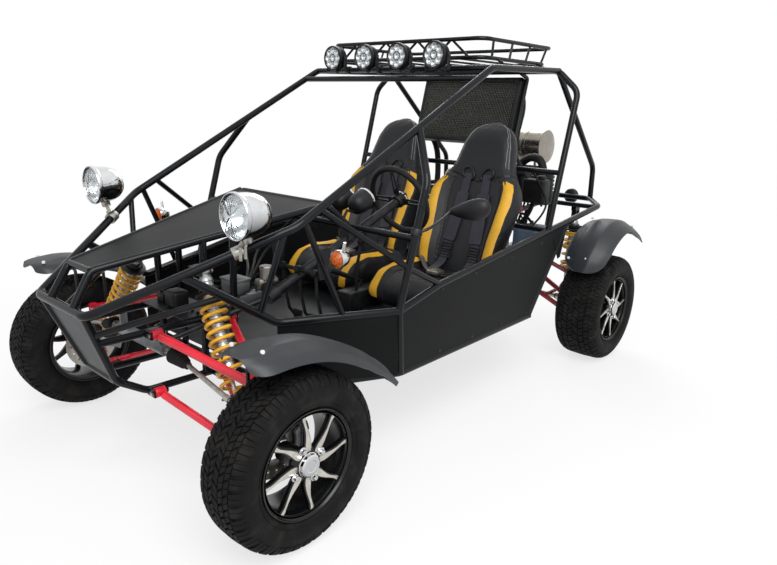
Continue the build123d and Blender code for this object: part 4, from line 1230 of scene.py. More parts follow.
# Springs and dampers

SHOCKS = {  # top eye, lower eye, spring cups below the top, turns
    "front": (Vector((FX - 0.045, 0.235, 0.83)), Vector((FX + 0.025, 0.56, 0.312)), 0.095, 0.47, 10.5),
    "rear": (Vector((RX - 0.05, 0.56, 0.815)), Vector((RX - 0.1, 0.52, 0.37)), 0.08, 0.34, 8.5),
}


class BUGGY_OT_coilovers(bpy.types.Operator):
    """Model the four coil springs and their dampers"""

    bl_idname = "buggy.coilovers"
    bl_label = "Coil-overs"

    def execute(self, context):
        made = {}
        for end, (top, low, start, stop, turns) in SHOCKS.items():
            coil = self.coil(f"spring_{end}", top, low, start, stop, turns)
            made[end] = pair(coil, spring_enamel, "spring_yellow", 60)[0]
            body, cups = self.damper(end, top, low, start, stop)
            made[end + " body"] = pair(body, damper_alloy, "damper_alloy")[0]
            pair(cups, dark_steel, "steel")
        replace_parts(made["front"], "springs")
        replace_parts(made["front body"], "dampers")
        return {"FINISHED"}

    def coil(self, name, top, low, start, stop, turns):
        """Round wire with close end turns and a wider pitch towards the bottom."""
        way = (low - top).normalized()
        side = way.orthogonal().normalized()
        other = way.cross(side)
        wire, radius = sizes().coil_wire, 0.043
        count = int(turns * 18)
        line = []
        for i in range(count + 1):
            t = i / count
            down = table_at(((0, 0), (0.09, 0.035), (0.5, 0.42), (0.91, 0.965), (1, 1)),
                t) if turns < 9 else lerp(t, t * t, 0.28)
            d = lerp(start + wire, stop - wire, down)
            a = tau * turns * t
            line.append(top + way * d + (side * cos(a) + other * sin(a)) * radius)
        return pipe(name, line, wire, sides=6)

    def damper(self, end, top, low, start, stop):
        way, length = (low - top).normalized(), (low - top).length
        tube = length * 0.62
        rings = mm((0, 12), (11, 12), (19, 20), (23.5, 30), (26, 34), (26, 44), (23.5, 47))
        d = start + 0.006
        while d < tube - 0.03:
            rings += [(0.0238, d), (0.0228, d + 0.002), (0.0228, d + 0.004), (0.0238, d + 0.006)]
            d += 0.009
        rings += [(0.0255, tube - 0.02), (0.0255, tube - 0.004), (0.02, tube), (0.009, tube + 0.001),
            (0.008, tube + 0.004)]
        rings += [(0.008, stop - 0.004), (0.014, stop - 0.002), (0.016, stop + 0.012),
            (0.0145, length - 0.03), (0.012, length - 0.012), (0, length - 0.012)]
        body = turned(f"damper_{end}", rings, top, way, 32)
        eyes = []
        for place in (top, low):
            eye = even((8.5, -16), (15, -16), (17, -13))
            eyes.append(turned("eye", eye, place, AHEAD, 24))
        cups = []
        for d, flip in ((start, -1), (stop, 1)):
            ring = [(0.024, 0), (0.051, 0), (0.052, 0.002 * flip), (0.052, 0.007 * flip),
                (0.043, 0.0095 * flip), (0.03, 0.014 * flip), (0.024, 0.014 * flip)]
            cups.append(turned("cup", ring, top + way * d, way, 36))
        lock = mm((24, -30), (34, -30), (36, -28), (36, -20), (34, -18), (24, -18))
        cups.append(turned("lock", lock, top + way * start, way, 12))
        return join(f"damper_{end}", [body, *eyes]), join(f"damper_cups_{end}", cups)


# Lamps

LAMP = Vector((FX + 0.005, 0.51, 1.077))
BLINK = Vector((FX - 0.352, 0.622, 0.896))
ROOF_LAMPS = [Vector((-0.102, y, 1.667)) for y in (-0.335, -0.11, 0.11, 0.335)]
BACK = Vector((-1, 0, 0))


class BUGGY_OT_headlamps(bpy.types.Operator):
    """Model the two chrome headlamps with fluted glass"""

    bl_idname = "buggy.headlamps"
    bl_label = "Headlamps"

    def execute(self, context):
        shell = turned("headlamp_shell", mm((74.5, 1), (77, -4), (79.5, -4), (81.5, 0), (81.5, 9),
            (79.5, 12.5), (77.5, 13.5), (77.5, 36), (75.5, 58), (70.5, 82), (62, 102), (48, 118), (30, 127),
            (12, 130), (0, 130), (0, 126), (40, 116), (66, 80), (73.5, 30), (74.5, 12)), LAMP, BACK, 64)
        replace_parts(pair(shell, chrome, "lamp_chrome", 30)[0], "lamp_shells")
        bowl = turned("headlamp_bowl", mm((73.5, 12), (66, 34), (52, 56), (34, 71), (12, 78), (0, 78),
            (0, 76), (12, 76), (33, 69), (50.5, 54), (64.5, 32), (72, 11)), LAMP, BACK, 48)
        bulb = turned("bulb", mm((0, 28), (5, 29), (8.5, 34), (8.5, 50), (6, 56), (11, 60), (11, 77),
            (0, 77)), LAMP, BACK, 20)
        pair(join("headlamp_bowl", [bowl, bulb]), reflector, "lamp_chrome", 40)
        glass = turned("headlamp_glass", mm((0, -13.5), (12, -13.2), (24, -12.2), (35, -10.6), (45, -8.5),
            (54, -6), (62, -3), (69, 0), (74, 3), (74, 7), (68, 4.5), (60, 1), (48, -3.5), (32, -7.5),
            (16, -9.5), (0, -10)), LAMP, BACK, 96)
        for vertex in glass.data.vertices:
            out = (vertex.co - LAMP).yz.length
            if vertex.co.x > LAMP.x - 0.002 and out < 0.071:
                vertex.co.x += 0.0011 * cos(tau * (vertex.co.y - LAMP.y) / 0.0115)
        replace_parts(pair(glass, clear_glass, "lens_clear", 50)[0], "lamp_lenses")
        pair(self.stalk(), zinc_steel, "steel")
        return {"FINISHED"}

    def stalk(self):
        """Swivel foot, stem and the clamp on the nose tube."""
        a, b = Vector((FX - 0.215, 0.563, 1.022)), Vector((FX + 0.379, 0.188, 0.74))
        tube = (b - a).normalized()
        foot = a.lerp(b, (FX - 0.045 - a.x) / (b.x - a.x))
        head = LAMP + Vector((-0.05, -0.004, -0.075))
        stem = pipe("stem", [foot + Vector((0, 0, 0.012)), foot.lerp(head, 0.5) + Vector((0, -0.003, 0)),
            head], 0.0105)
        knob = turned("knob", mm((0, -20), (16, -20), (18.5, -16), (18.5, 2), (14, 8), (0, 12)), head,
            (0.2, 0, 1), 24)
        clamp = turned("clamp", even((16.3, -20), (22.5, -20), (23.5, -18)), foot, tube, 24)
        bolts = [turned("bolt", mm((0, -22), (6, -22), (6, 20), (7.5, 21), (7.5, 26), (0, 27)),
            foot + tube * s * 0.009 + Vector((0, 0.026, 0)), UP, 6) for s in (1, -1)]
        return join("headlamp_stalk", [stem, knob, clamp, *bolts])


class BUGGY_OT_indicators(bpy.types.Operator):
    """Model the front indicators: chrome bullets with amber lenses"""

    bl_idname = "buggy.indicators"
    bl_label = "Indicators"

    def execute(self, context):
        bullet = turned("indicator_bullet", mm((0, 2), (30, 2), (31, -2), (33.5, -2), (34.8, 2), (34, 9),
            (32.5, 22), (28, 38), (20, 50), (9, 56.5), (0, 58)), BLINK, BACK, 40)
        arm = pipe("arm", [BLINK + Vector((-0.028, 0, 0)), BLINK + Vector((-0.028, 0.005, 0.02)),
            (FX - 0.38, 0.634, 0.956)], 0.0062)
        pair(join("indicator_bullet", [bullet, arm]), chrome, "lamp_chrome")
        lens = turned("indicator_lens", mm((0, -18.5), (9, -18), (10.5, -16.2), (18, -14.5), (19.5, -12.2),
            (25.5, -8.5), (27.5, -5.5), (30.5, -2), (31, 3), (0, 3)), BLINK, BACK, 40)
        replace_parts(pair(lens, amber_glass, "lens_amber", 30)[0], "indicator_lenses")
        return {"FINISHED"}


class BUGGY_OT_roof_lamps(bpy.types.Operator):
    """Model the four round work lamps on the roof bar"""

    bl_idname = "buggy.roof_lamps"
    bl_label = "Roof lamps"

    def execute(self, context):
        cans, cups, lenses, feet = [], [], [], []
        for place in ROOF_LAMPS:
            cans.append(self.can(place))
            cups.append(self.cups(place))
            lenses.append(turned("lens", mm((0, -7.5), (50, -7), (55.5, -5), (55.5, -2), (0, -3.5)), place,
                BACK, 48))
            feet.append(self.foot(place))
        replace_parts(dress(join("work_lamp_cans", cans), black_plastic, "lamp_black", 30), "roof_lamps")
        dress(join("work_lamp_cups", cups), reflector, "lamp_chrome", 50)
        dress(join("work_lamp_lenses", lenses), clear_glass, "lens_clear", 50)
        dress(join("work_lamp_feet", feet), dark_steel, "lamp_black")
        return {"FINISHED"}

    def can(self, place):
        """Bezel and tub with cooling rings behind."""
        ring = mm((0, 12), (54.5, 12), (55.5, -6), (58, -8), (61, -7), (62, -3), (62, 10), (60.5, 13))
        for i in range(5):
            d = 0.015 + i * 0.0068
            ring += [(0.053, d), (0.053, d + 0.003), (0.0605 - i * 0.0012, d + 0.0035),
                (0.0605 - i * 0.0012, d + 0.0062)]
        ring += mm((44, 49), (30, 50), (0, 50))
        return turned("can", ring, place, BACK, 48)

    def cups(self, place):
        """Nine light cups set in the lamp's face."""
        cup = turned("cup", mm((0, 9), (4, 8), (9, 3), (14.2, -1.5), (15.5, -1.5), (15.5, 11.5), (0, 11.5)),
            (0, 0, 0), BACK, 16)
        spots = [(0, 0)] + [(0.0365 * cos(tau * i / 8), 0.0365 * sin(tau * i / 8)) for i in range(8)]
        made = [copy_of(cup, "cup", Matrix.Translation(place + Vector((0, y, z)))) for y, z in spots]
        bpy.data.objects.remove(cup)
        return join("cups", made)

    def foot(self, place):
        """U bracket down to the roof bar, with side bolts."""
        bar = Vector((-0.222, place.y, 1.613))
        legs = []
        for side in (1, -1):
            edge = place + Vector((-0.03, side * 0.066, 0))
            line = [edge + Vector((x, 0, z))
                for x, z in ((0.011, 0.012), (-0.011, 0.012), (-0.011, -0.05), (0.011, -0.05))]
            legs.append(plate("leg", line, (0, -side * 0.003, 0), 0.0008, 1))
            legs.append(turned("bolt", mm((0, -4), (8.5, -4), (8.5, 3), (6, 5), (0, 5)), edge, (0, side, 0),
                6))
        bridge = [place + Vector((x, y, -0.066))
            for x, y in ((-0.019, 0.066), (-0.041, 0.066), (-0.041, -0.066), (-0.019, -0.066))]
        legs.append(plate("bridge", bridge, (0, 0, 0.003), 0.0008, 1))
        legs += [plate("web", [place + Vector((x, s * 0.066, z))
            for x, z in ((-0.019, -0.048), (-0.041, -0.048), (-0.041, -0.066), (-0.019, -0.066))],
            (0, -s * 0.003, 0)) for s in (1, -1)]
        legs.append(pipe("post", [place + Vector((-0.03, 0, -0.066)), bar + Vector((0.004, 0, 0.012))],
            0.009))
        legs.append(turned("collar", even((14.3, -14), (19, -14), (20, -12)), bar, LEFT, 20))
        return join("foot", legs)


# Steering and controls

WHEEL_AT = Vector((0.097, 0.32, 1.012))
WHEEL_TILT = radians(22)
COLUMN_WAY = Vector((cos(WHEEL_TILT), 0, -sin(WHEEL_TILT)))
WHEEL_UP = Vector((sin(WHEEL_TILT), 0, cos(WHEEL_TILT)))
DASH_AT = Vector((0.44, 0, 0.935))


def on_wheel(across, upward, ahead):
    """Place in the steering wheel's own plane."""
    return WHEEL_AT + Vector((0, across, 0)) + WHEEL_UP * upward + COLUMN_WAY * ahead


def bolt(place, axis, radius=0.006, height=0.005):
    """Hexagon bolt head with its washer."""
    head = [(0, -0.004), (radius * 0.98, -0.004), (radius, 0.0015), (radius, height),
        (radius * 0.8, height + 0.001), (0, height + 0.001)]
    washer = [(0, -0.003), (radius * 1.45, -0.003), (radius * 1.45, 0.0008), (radius * 1.3, 0.0013),
        (0, 0.0013)]
    return join("bolt", [turned("head", head, place, axis, 6), turned("washer", washer, place, axis, 16)])


class BUGGY_OT_steering_wheel(bpy.types.Operator):
    """Model the steering wheel: gripped rim, slotted spokes, hub box and its silver ring"""

    bl_idname = "buggy.steering_wheel"
    bl_label = "Steering wheel"

    def execute(self, context):
        ring = [(0.16 + 0.0138 * cos(tau * i / 14), 0.0138 * sin(tau * i / 14)) for i in range(14)]
        rim = turned("steering_rim", ring, WHEEL_AT, COLUMN_WAY, 96)
        for vertex in rim.data.vertices:
            local = vertex.co - WHEEL_AT
            across, upward, ahead = local.y, local.dot(WHEEL_UP), local.dot(COLUMN_WAY)
            turn = (across**2 + upward**2) ** 0.5
            if ahead > 0.002 and turn > 0.15:  # finger grips on the far side
                vertex.co += COLUMN_WAY * 0.0012 * cos(30 * atan2(upward, across))
        dress(rim, hard_rubber, "wheel_grip", 60, ["steering_wheel"], body="steering_wheel")
        spokes = [self.spoke(a) for a in (0, pi / 2, pi)]
        dress(join("steering_spokes", spokes), dark_steel, "steel", body="steering_wheel")
        dress(self.hub(), black_plastic, "wheel_grip", body="steering_wheel")
        silver = turned("steering_ring", mm((30, -21), (34.5, -21), (36, -19), (36, -16), (34.5, -14),
            (30, -14)), WHEEL_AT, COLUMN_WAY, 40)
        dress(silver, chrome, "steel", body="steering_wheel")
        return {"FINISHED"}

    def spoke(self, turn):
        """Tapered flat spoke with a lightening slot."""
        outline = ((0.028, -0.017), (0.09, -0.0135), (0.149, -0.012), (0.149, 0.012), (0.09, 0.0135),
            (0.028, 0.017))
        places = [on_wheel(r * cos(turn) - w * sin(turn), r * sin(turn) + w * cos(turn), 0.002)
            for r, w in outline]
        spoke = plate("spoke", places, COLUMN_WAY * 0.005, 0.0012, 2)
        slot = [on_wheel(r * cos(turn) - w * sin(turn), r * sin(turn) + w * cos(turn), -0.01)
            for r, w in ((0.062, -0.006), (0.125, -0.0045), (0.128, 0), (0.125, 0.0045), (0.062, 0.006),
            (0.058, 0))]
        cutter = plate("cutter", slot, COLUMN_WAY * 0.03)
        modify(spoke, "BOOLEAN", object=cutter, operation="DIFFERENCE", solver="EXACT")
        bpy.data.objects.remove(cutter)
        return spoke

    def hub(self):
        """Boss behind the spokes and a square pad in front of them."""
        boss = turned("hub", mm((0, -14), (30, -14), (34, -10), (34, 12), (28, 24), (0, 24.5)), WHEEL_AT,
            COLUMN_WAY, 40)
        half = 0.029
        pad = [on_wheel(y, z, -0.034) for y, z in oblong(half, half)]
        pad = plate("pad", pad, COLUMN_WAY * 0.022, 0.006, 3)
        screws = [turned("screw", mm((0, -2), (4.5, -2), (4.5, 2), (3, 3), (0, 3)),
            on_wheel(0.026 * cos(a), 0.026 * sin(a), -0.0005), -COLUMN_WAY, 10)
            for a in (0.6, 2.2, 3.7, 5.3)]
        return join("steering_hub", [boss, pad, *screws])


class BUGGY_OT_controls(bpy.types.Operator):
    """Model the gauges, pedals, gear lever and the dash panel with its switches"""

    bl_idname = "buggy.controls"
    bl_label = "Controls"

    def execute(self, context):
        pods, bezels, faces, marks = [], [], [], []
        for y in (0.165, 0.285):
            place, way = Vector((0.29, y, 1.03)), Vector((-cos(0.35), 0, sin(0.35)))
            pods.append(turned("pod", mm((0, -85), (22, -85), (34, -80), (43, -66), (47.5, -45), (49, -10),
                (49, 2), (45, 2), (45, -12), (0, -12)), place, way, 40))
            bezels.append(turned("bezel", mm((43.5, 0), (50, 0), (52.5, 3), (52.5, 8), (50, 11),
                (45.5, 10.5), (43.5, 6)), place, way, 48))
            faces.append(turned("face", mm((0, -11), (44.5, -11), (44.5, -8), (0, -8)), place, way, 32))
            marks += self.dial(place - way * 0.0075, way)
            foot = Vector((DASH_AT.x - 0.006, y, DASH_AT.z + 0.012))
            pods.append(pipe("foot", [place - way * 0.05 - Vector((0, 0, 0.04)),
                foot + Vector((-0.03, 0, 0.045)), foot], 0.007))
        dress(join("gauge_pods", pods), black_plastic, "mirror_black")
        dress(join("gauge_bezels", bezels), chrome, "lamp_chrome")
        dress(join("gauge_faces", faces), gauge_face, "mirror_black")
        dress(join("gauge_marks", marks), white_paint, "lens_clear")
        dress(self.pedals(), dark_steel, "steel")
        dress(self.pedal_pads(), hard_rubber, "wheel_grip")
        dress(self.lever(), dark_steel, "steel")
        dress(self.switches(), black_plastic, "mirror_black")
        return {"FINISHED"}

    def dial(self, place, way):
        """Tick marks round a dial and its needle."""
        turn = to_axis(place, way)
        ticks = []
        for i in range(11):
            a = radians(-130 + 26 * i)
            near, far = (0.031, 0.04) if i % 2 == 0 else (0.035, 0.04)
            spots = [(near, -0.0009), (far, -0.0009), (far, 0.0009), (near, 0.0009)]
            ticks.append(plate("tick", [turn @ Vector((r * sin(a) + w * cos(a), r * cos(a) - w * sin(a), 0))
                for r, w in spots], way * 0.0008))
        needle = [turn @ Vector((x, z, 0.001))
            for x, z in ((-0.0016, -0.008), (0.0016, -0.008), (0.0006, 0.034), (-0.0006, 0.034))]
        return [*ticks, plate("needle", needle, way * 0.0012)]

    def pedals(self):
        """Three hanging pedals on a cross shaft under the dash."""
        made = [pipe("shaft", [(0.72, 0.2, 0.79), (0.72, 0.47, 0.79)], 0.009)]
        for y in (0.23, 0.33, 0.43):
            made.append(pipe("arm", [(0.72, y, 0.79), (0.715, y, 0.7), (0.69, y, 0.6), (0.655, y, 0.555)],
                0.007))
            made.append(turned("boss", even((0, -14), (16, -14)), (0.72, y, 0.79), LEFT, 20))
        for y in (0.2, 0.47):
            made.append(plate("hanger", [(x, y, z)
                for x, z in ((0.7, 0.775), (0.74, 0.775), (0.76, 0.9), (0.68, 0.9))], (0, 0.004, 0), 0.001,
                1))
        return join("pedal_arms", made)

    def pedal_pads(self):
        pads = []
        for y, half in ((0.23, 0.026), (0.33, 0.03), (0.43, 0.03)):
            outline = [Vector((0.648, y + w, 0.548 + h)) for w, h in oblong(half, 0.03)]
            pads.append(plate("pad", outline, (-0.009, 0, 0.003), 0.003, 2))
            pads += [plate("rib", [(0.639, y + w, 0.552 + h + k) for w, k in oblong(half * 0.85, 0.003)],
                (-0.003, 0, 0.001), 0.001, 1) for h in (-0.016, 0, 0.016)]
        return join("pedal_pads", pads)

    def lever(self):
        """Gear lever and hand brake between the seats."""
        box = plate("gate", [(x, y, 0.404) for x, y in ((-0.12, -0.05), (0.14, -0.05), (0.14, 0.05),
            (-0.12, 0.05))], (0, 0, 0.1), 0.008, 3)
        stick = pipe("stick", [(0.06, 0.015, 0.5), (0.065, 0.015, 0.6), (0.03, 0.015, 0.74)], 0.008)
        knob = turned("knob", mm((0, -20), (12, -20), (20, -8), (24, 6), (21, 20), (12, 28), (0, 30)),
            (0.027, 0.015, 0.755), (-0.2, 0, 1), 28)
        brake = pipe("brake", [(0, -0.03, 0.5), (-0.02, -0.03, 0.53), (0.19, -0.03, 0.62)], 0.0085)
        grip = pipe("grip", [(0.09, -0.03, 0.577), (0.205, -0.03, 0.627)], 0.0135)
        return join("gear_lever", [box, stick, knob, brake, grip])

    def switches(self):
        """Dash panel with rocker switches, its straps and wires."""
        panel = plate("panel", [(DASH_AT.x - 0.03, y, z)
            for y, z in ((-0.16, 0.885), (0.1, 0.885), (0.1, 0.965), (-0.16, 0.965))], (0.006, 0, 0), 0.002,
            2)
        rockers = [plate("rocker", [(DASH_AT.x - 0.031, -0.13 + 0.04 * i + w, 0.925 + h)
            for w, h in oblong(0.011, 0.018)], (-0.006, 0, 0.001), 0.002, 2) for i in range(6)]
        straps = [turned("strap", even((14.3, -10), (18, -10)), (DASH_AT.x, y, DASH_AT.z), LEFT, 20)
            for y in (-0.14, 0.08)]
        loom = [pipe("loom", [(DASH_AT.x + 0.02, y, 0.93), (DASH_AT.x + 0.06, y - 0.05, 0.86),
            (0.62, y - 0.08, 0.8), (0.8, 0.12, 0.72), (0.93, 0.17, 0.66)], 0.006, curved=True)
            for y in (-0.1, 0, 0.06)]
        return join("dash_panel", [panel, *rockers, *straps, *loom])


# Suspension arms, brakes and rack boots

LOW_EYES = (Vector((FX + 0.14, 0.191, 0.3943)), Vector((FX - 0.14, 0.191, 0.3866)))
TOP_EYES = (Vector((FX + 0.136, 0.1923, 0.62)), Vector((FX - 0.16, 0.2221, 0.62)))
LOW_BALL, TOP_BALL = Vector((FX, 0.63, 0.22)), Vector((FX, 0.63, 0.5))
REAR_EYES = (Vector((RX + 0.11, 0.341, 0.3932)), Vector((RX - 0.11, 0.341, 0.3942)))
REAR_BALL = Vector((RX, 0.615, 0.262))
LINK = (Vector((RX + 0.11, 0.375, 0.59)), Vector((RX + 0.04, 0.615, 0.48)))


class BUGGY_OT_arms(bpy.types.Operator):
    """Model the suspension arms: tubes, gussets, bushed eyes and ball joints"""

    bl_idname = "buggy.arms"
    bl_label = "Arms"

    def execute(self, context):
        low = self.arm(LOW_BALL, LOW_EYES, 0.0155)
        top = self.arm(TOP_BALL, TOP_EYES, 0.0165)
        front = join("arms_front", [*low, *top, *self.yoke(SHOCKS["front"][1], 0.0165, 0.033, 0.075),
            self.brace(LOW_BALL, LOW_EYES, 0.45, 0.0125)])
        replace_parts(pair(front, red_enamel, "arm_red")[0], "front_arms")
        rear = []
        for eye, s in zip(REAR_EYES, (1, -1)):
            rear.append(pipe("leg", [REAR_BALL + Vector((s * 0.08, 0, 0)), eye], 0.0155))
            rear.append(self.eye(eye))
        rear.append(turned("outer", even((0, -95), (17, -95), (19, -92)), REAR_BALL, AHEAD, 24))
        rear += [pipe("link", list(LINK), 0.0135), *(self.eye(e) for e in LINK)]
        rear += self.yoke(SHOCKS["rear"][1], 0.0165, 0.028, 0.072)
        rear.append(self.brace(REAR_BALL, REAR_EYES, 0.5, 0.0115))
        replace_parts(pair(join("arms_rear", rear), dark_red_enamel, "arm_dark_red")[0], "rear_arms")
        bolts = [turned("pin", even((0, -34), (9, -34), (9.5, -28), (6.2, -28)), place, AHEAD, 6)
            for place in (*LOW_EYES, *TOP_EYES, *REAR_EYES, LINK[0], SHOCKS["front"][0], SHOCKS["front"][1],
            SHOCKS["rear"][0], SHOCKS["rear"][1])]
        pair(join("arm_bolts", bolts), zinc_steel, "steel")
        pair(join("ball_boots", [self.boot(LOW_BALL, 1), self.boot(TOP_BALL, -1)]), hard_rubber,
            "wheel_grip", 45)
        return {"FINISHED"}

    def eye(self, place):
        ring = even((6.8, -21.5), (13, -21.5), (13.5, -20), (18.5, -20), (19, -18.5))
        return turned("eye", ring, place, AHEAD, 28)

    def arm(self, ball, eyes, radius):
        """Two tubes from the ball joint to the bushed eyes, with a plate between them at the ball."""
        made = [turned("ball", even((0, -22), (14, -22), (19.5, -18), (20, -12)), ball, UP, 28)]
        for eye in eyes:
            made += [pipe("leg", [ball, ball.lerp(eye, 0.955)], radius, sides=9), self.eye(eye)]
        corners = [ball.lerp(eyes[0], 0.05), ball.lerp(eyes[0], 0.24), ball.lerp(eyes[1], 0.24),
            ball.lerp(eyes[1], 0.05)]
        normal = (corners[1] - corners[0]).cross(corners[2] - corners[0]).normalized()
        made.append(plate("gusset", [c - normal * 0.0025 for c in corners], normal * 0.005, 0.0012, 1))
        return made

    def brace(self, ball, eyes, share, radius):
        return pipe("brace", [ball.lerp(eye, share) for eye in eyes], radius)

    def yoke(self, place, gap, half, drop):
        """Two cheeks that hold a damper's lower eye."""
        made = []
        for s in (1, -1):
            side = place + Vector((s * (gap + 0.001), 0, 0))
            outline = ((-half, -drop), (half, -drop), (half, -0.012), (0.013, 0.016), (-0.013, 0.016),
                (-half, -0.012))
            made.append(plate("cheek", [side + Vector((0, y, z)) for y, z in outline], (s * 0.006, 0, 0),
                0.0014, 2))
        return made

    def boot(self, ball, way):
        """Folded rubber boot between a ball joint and the knuckle."""
        ring = mm((0, 18), (16.5, 18), (17.5, 19.5), (16, 21), (14.5, 22.5), (0, 23.5))
        return turned("boot", [(r, h * way) for r, h in ring], ball, UP, 24)


class BUGGY_OT_brakes(bpy.types.Operator):
    """Model the brake calipers"""

    bl_idname = "buggy.brakes"
    bl_label = "Brakes"

    def execute(self, context):
        for end, body, stand in (("front", "knuckle_left", 0.03), ("rear", "chassis", 0.055)):
            hub = HUB[end]
            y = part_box(f"rim_{end}_left")[0].y + 0.018
            halves = [self.slice(hub, y + a, b - a, 0.078, 0.124)
                for a, b in ((-0.024, -0.0065), (0.0065, 0.0185))]
            bridge = [self.slice(hub, y - 0.024, 0.0425, 0.1235, 0.139, spread) for spread in (16, -16)]
            bracket = self.slice(hub, y - 0.031, 0.0075, stand, 0.112, 0, 11)
            pistons = [turned("piston", mm((0, 0), (16, 0), (17.5, -2), (17.5, -8), (14, -11), (0, -11)),
                self.polar(hub, 0.1, 270 + s, y - 0.024), LEFT, 24) for s in (11, -11)]
            caliper = join(f"caliper_{end}", [*halves, *bridge, bracket, *pistons])
            pair(caliper, cast_alloy, "steel", body=body)
        return {"FINISHED"}

    def polar(self, hub, r, degrees, y):
        a = radians(degrees)
        return Vector((hub.x + r * sin(a), y, hub.z + r * cos(a)))

    def slice(self, hub, y, deep, r0, r1, middle=0, half=24):
        """A piece of a ring beside the disc, towards the rear."""
        spread = half if middle == 0 else 9
        turns = [270 + middle - spread + spread * i / 3 for i in range(7)]
        outline = [self.polar(hub, r1, a, y) for a in turns] + [self.polar(hub, r0, a, y)
            for a in reversed(turns)]
        return plate("slice", outline, (0, deep, 0), 0.003, 2)


class BUGGY_OT_rack_boots(bpy.types.Operator):
    """Model the bellows at the rack's ends and the tie rods' ends"""

    bl_idname = "buggy.rack_boots"
    bl_label = "Rack boots"

    def execute(self, context):
        rack = Vector((FX + 0.09, 0, 0.54))
        end = Vector((FX + 0.1, 0.625, 0.469))
        start = rack + Vector((0, 0.222, 0))
        way = (end - rack - Vector((0, 0.235, 0))).normalized()
        ring, count = [(0, 0), (0.03, 0)], 7
        for i in range(count):
            d, r = 0.006 + i * 0.0115, lerp(0.034, 0.021, i / (count - 1))
            ring += [(r, d), (r + 0.001, d + 0.003), (r, d + 0.006), (r - 0.0075, d + 0.0088)]
        ring += mm((14.5, 90), (14.5, 100), (0, 100))
        pair(turned("rack_bellows", ring, start, way, 32), hard_rubber, "wheel_grip", 50,
            body="steering_rack")
        ball = turned("tie_ball", mm((0, -12.5), (15, -12.5), (19.5, -9), (20, 6), (17, 12), (9, 13.5),
            (0, 13.5)), end, UP, 24)
        nut = turned("tie_nut", even((0, -12), (13.5, -12)), end - way * 0.06, way, 6)
        pair(join("tie_ends", [ball, nut]), zinc_steel, "steel", body="steering_rack")
        return {"FINISHED"}


# Radiator, engine bay and exhaust

GUARD_LOW, GUARD_HIGH, GUARD_HALF = 1.24, 1.6, 0.335


def slab(name, low, high, edge=0.003, segments=2):
    """Rounded block between two corners."""
    (x0, y0, z0), (x1, y1, z1) = low, high
    outline = [Vector((x0, y0, z0)), Vector((x1, y0, z0)), Vector((x1, y1, z0)), Vector((x0, y1, z0))]
    return plate(name, outline, (0, 0, z1 - z0), edge, segments)


def on_radiator(y, z, ahead=0):
    """Place on the leaning front of the radiator, or so far in front of it."""
    lean = Vector((1, 0, 0.2645)).normalized()
    return Vector((-0.7986 - 0.2645 * (z - 1.12), y, z)) + lean * ahead


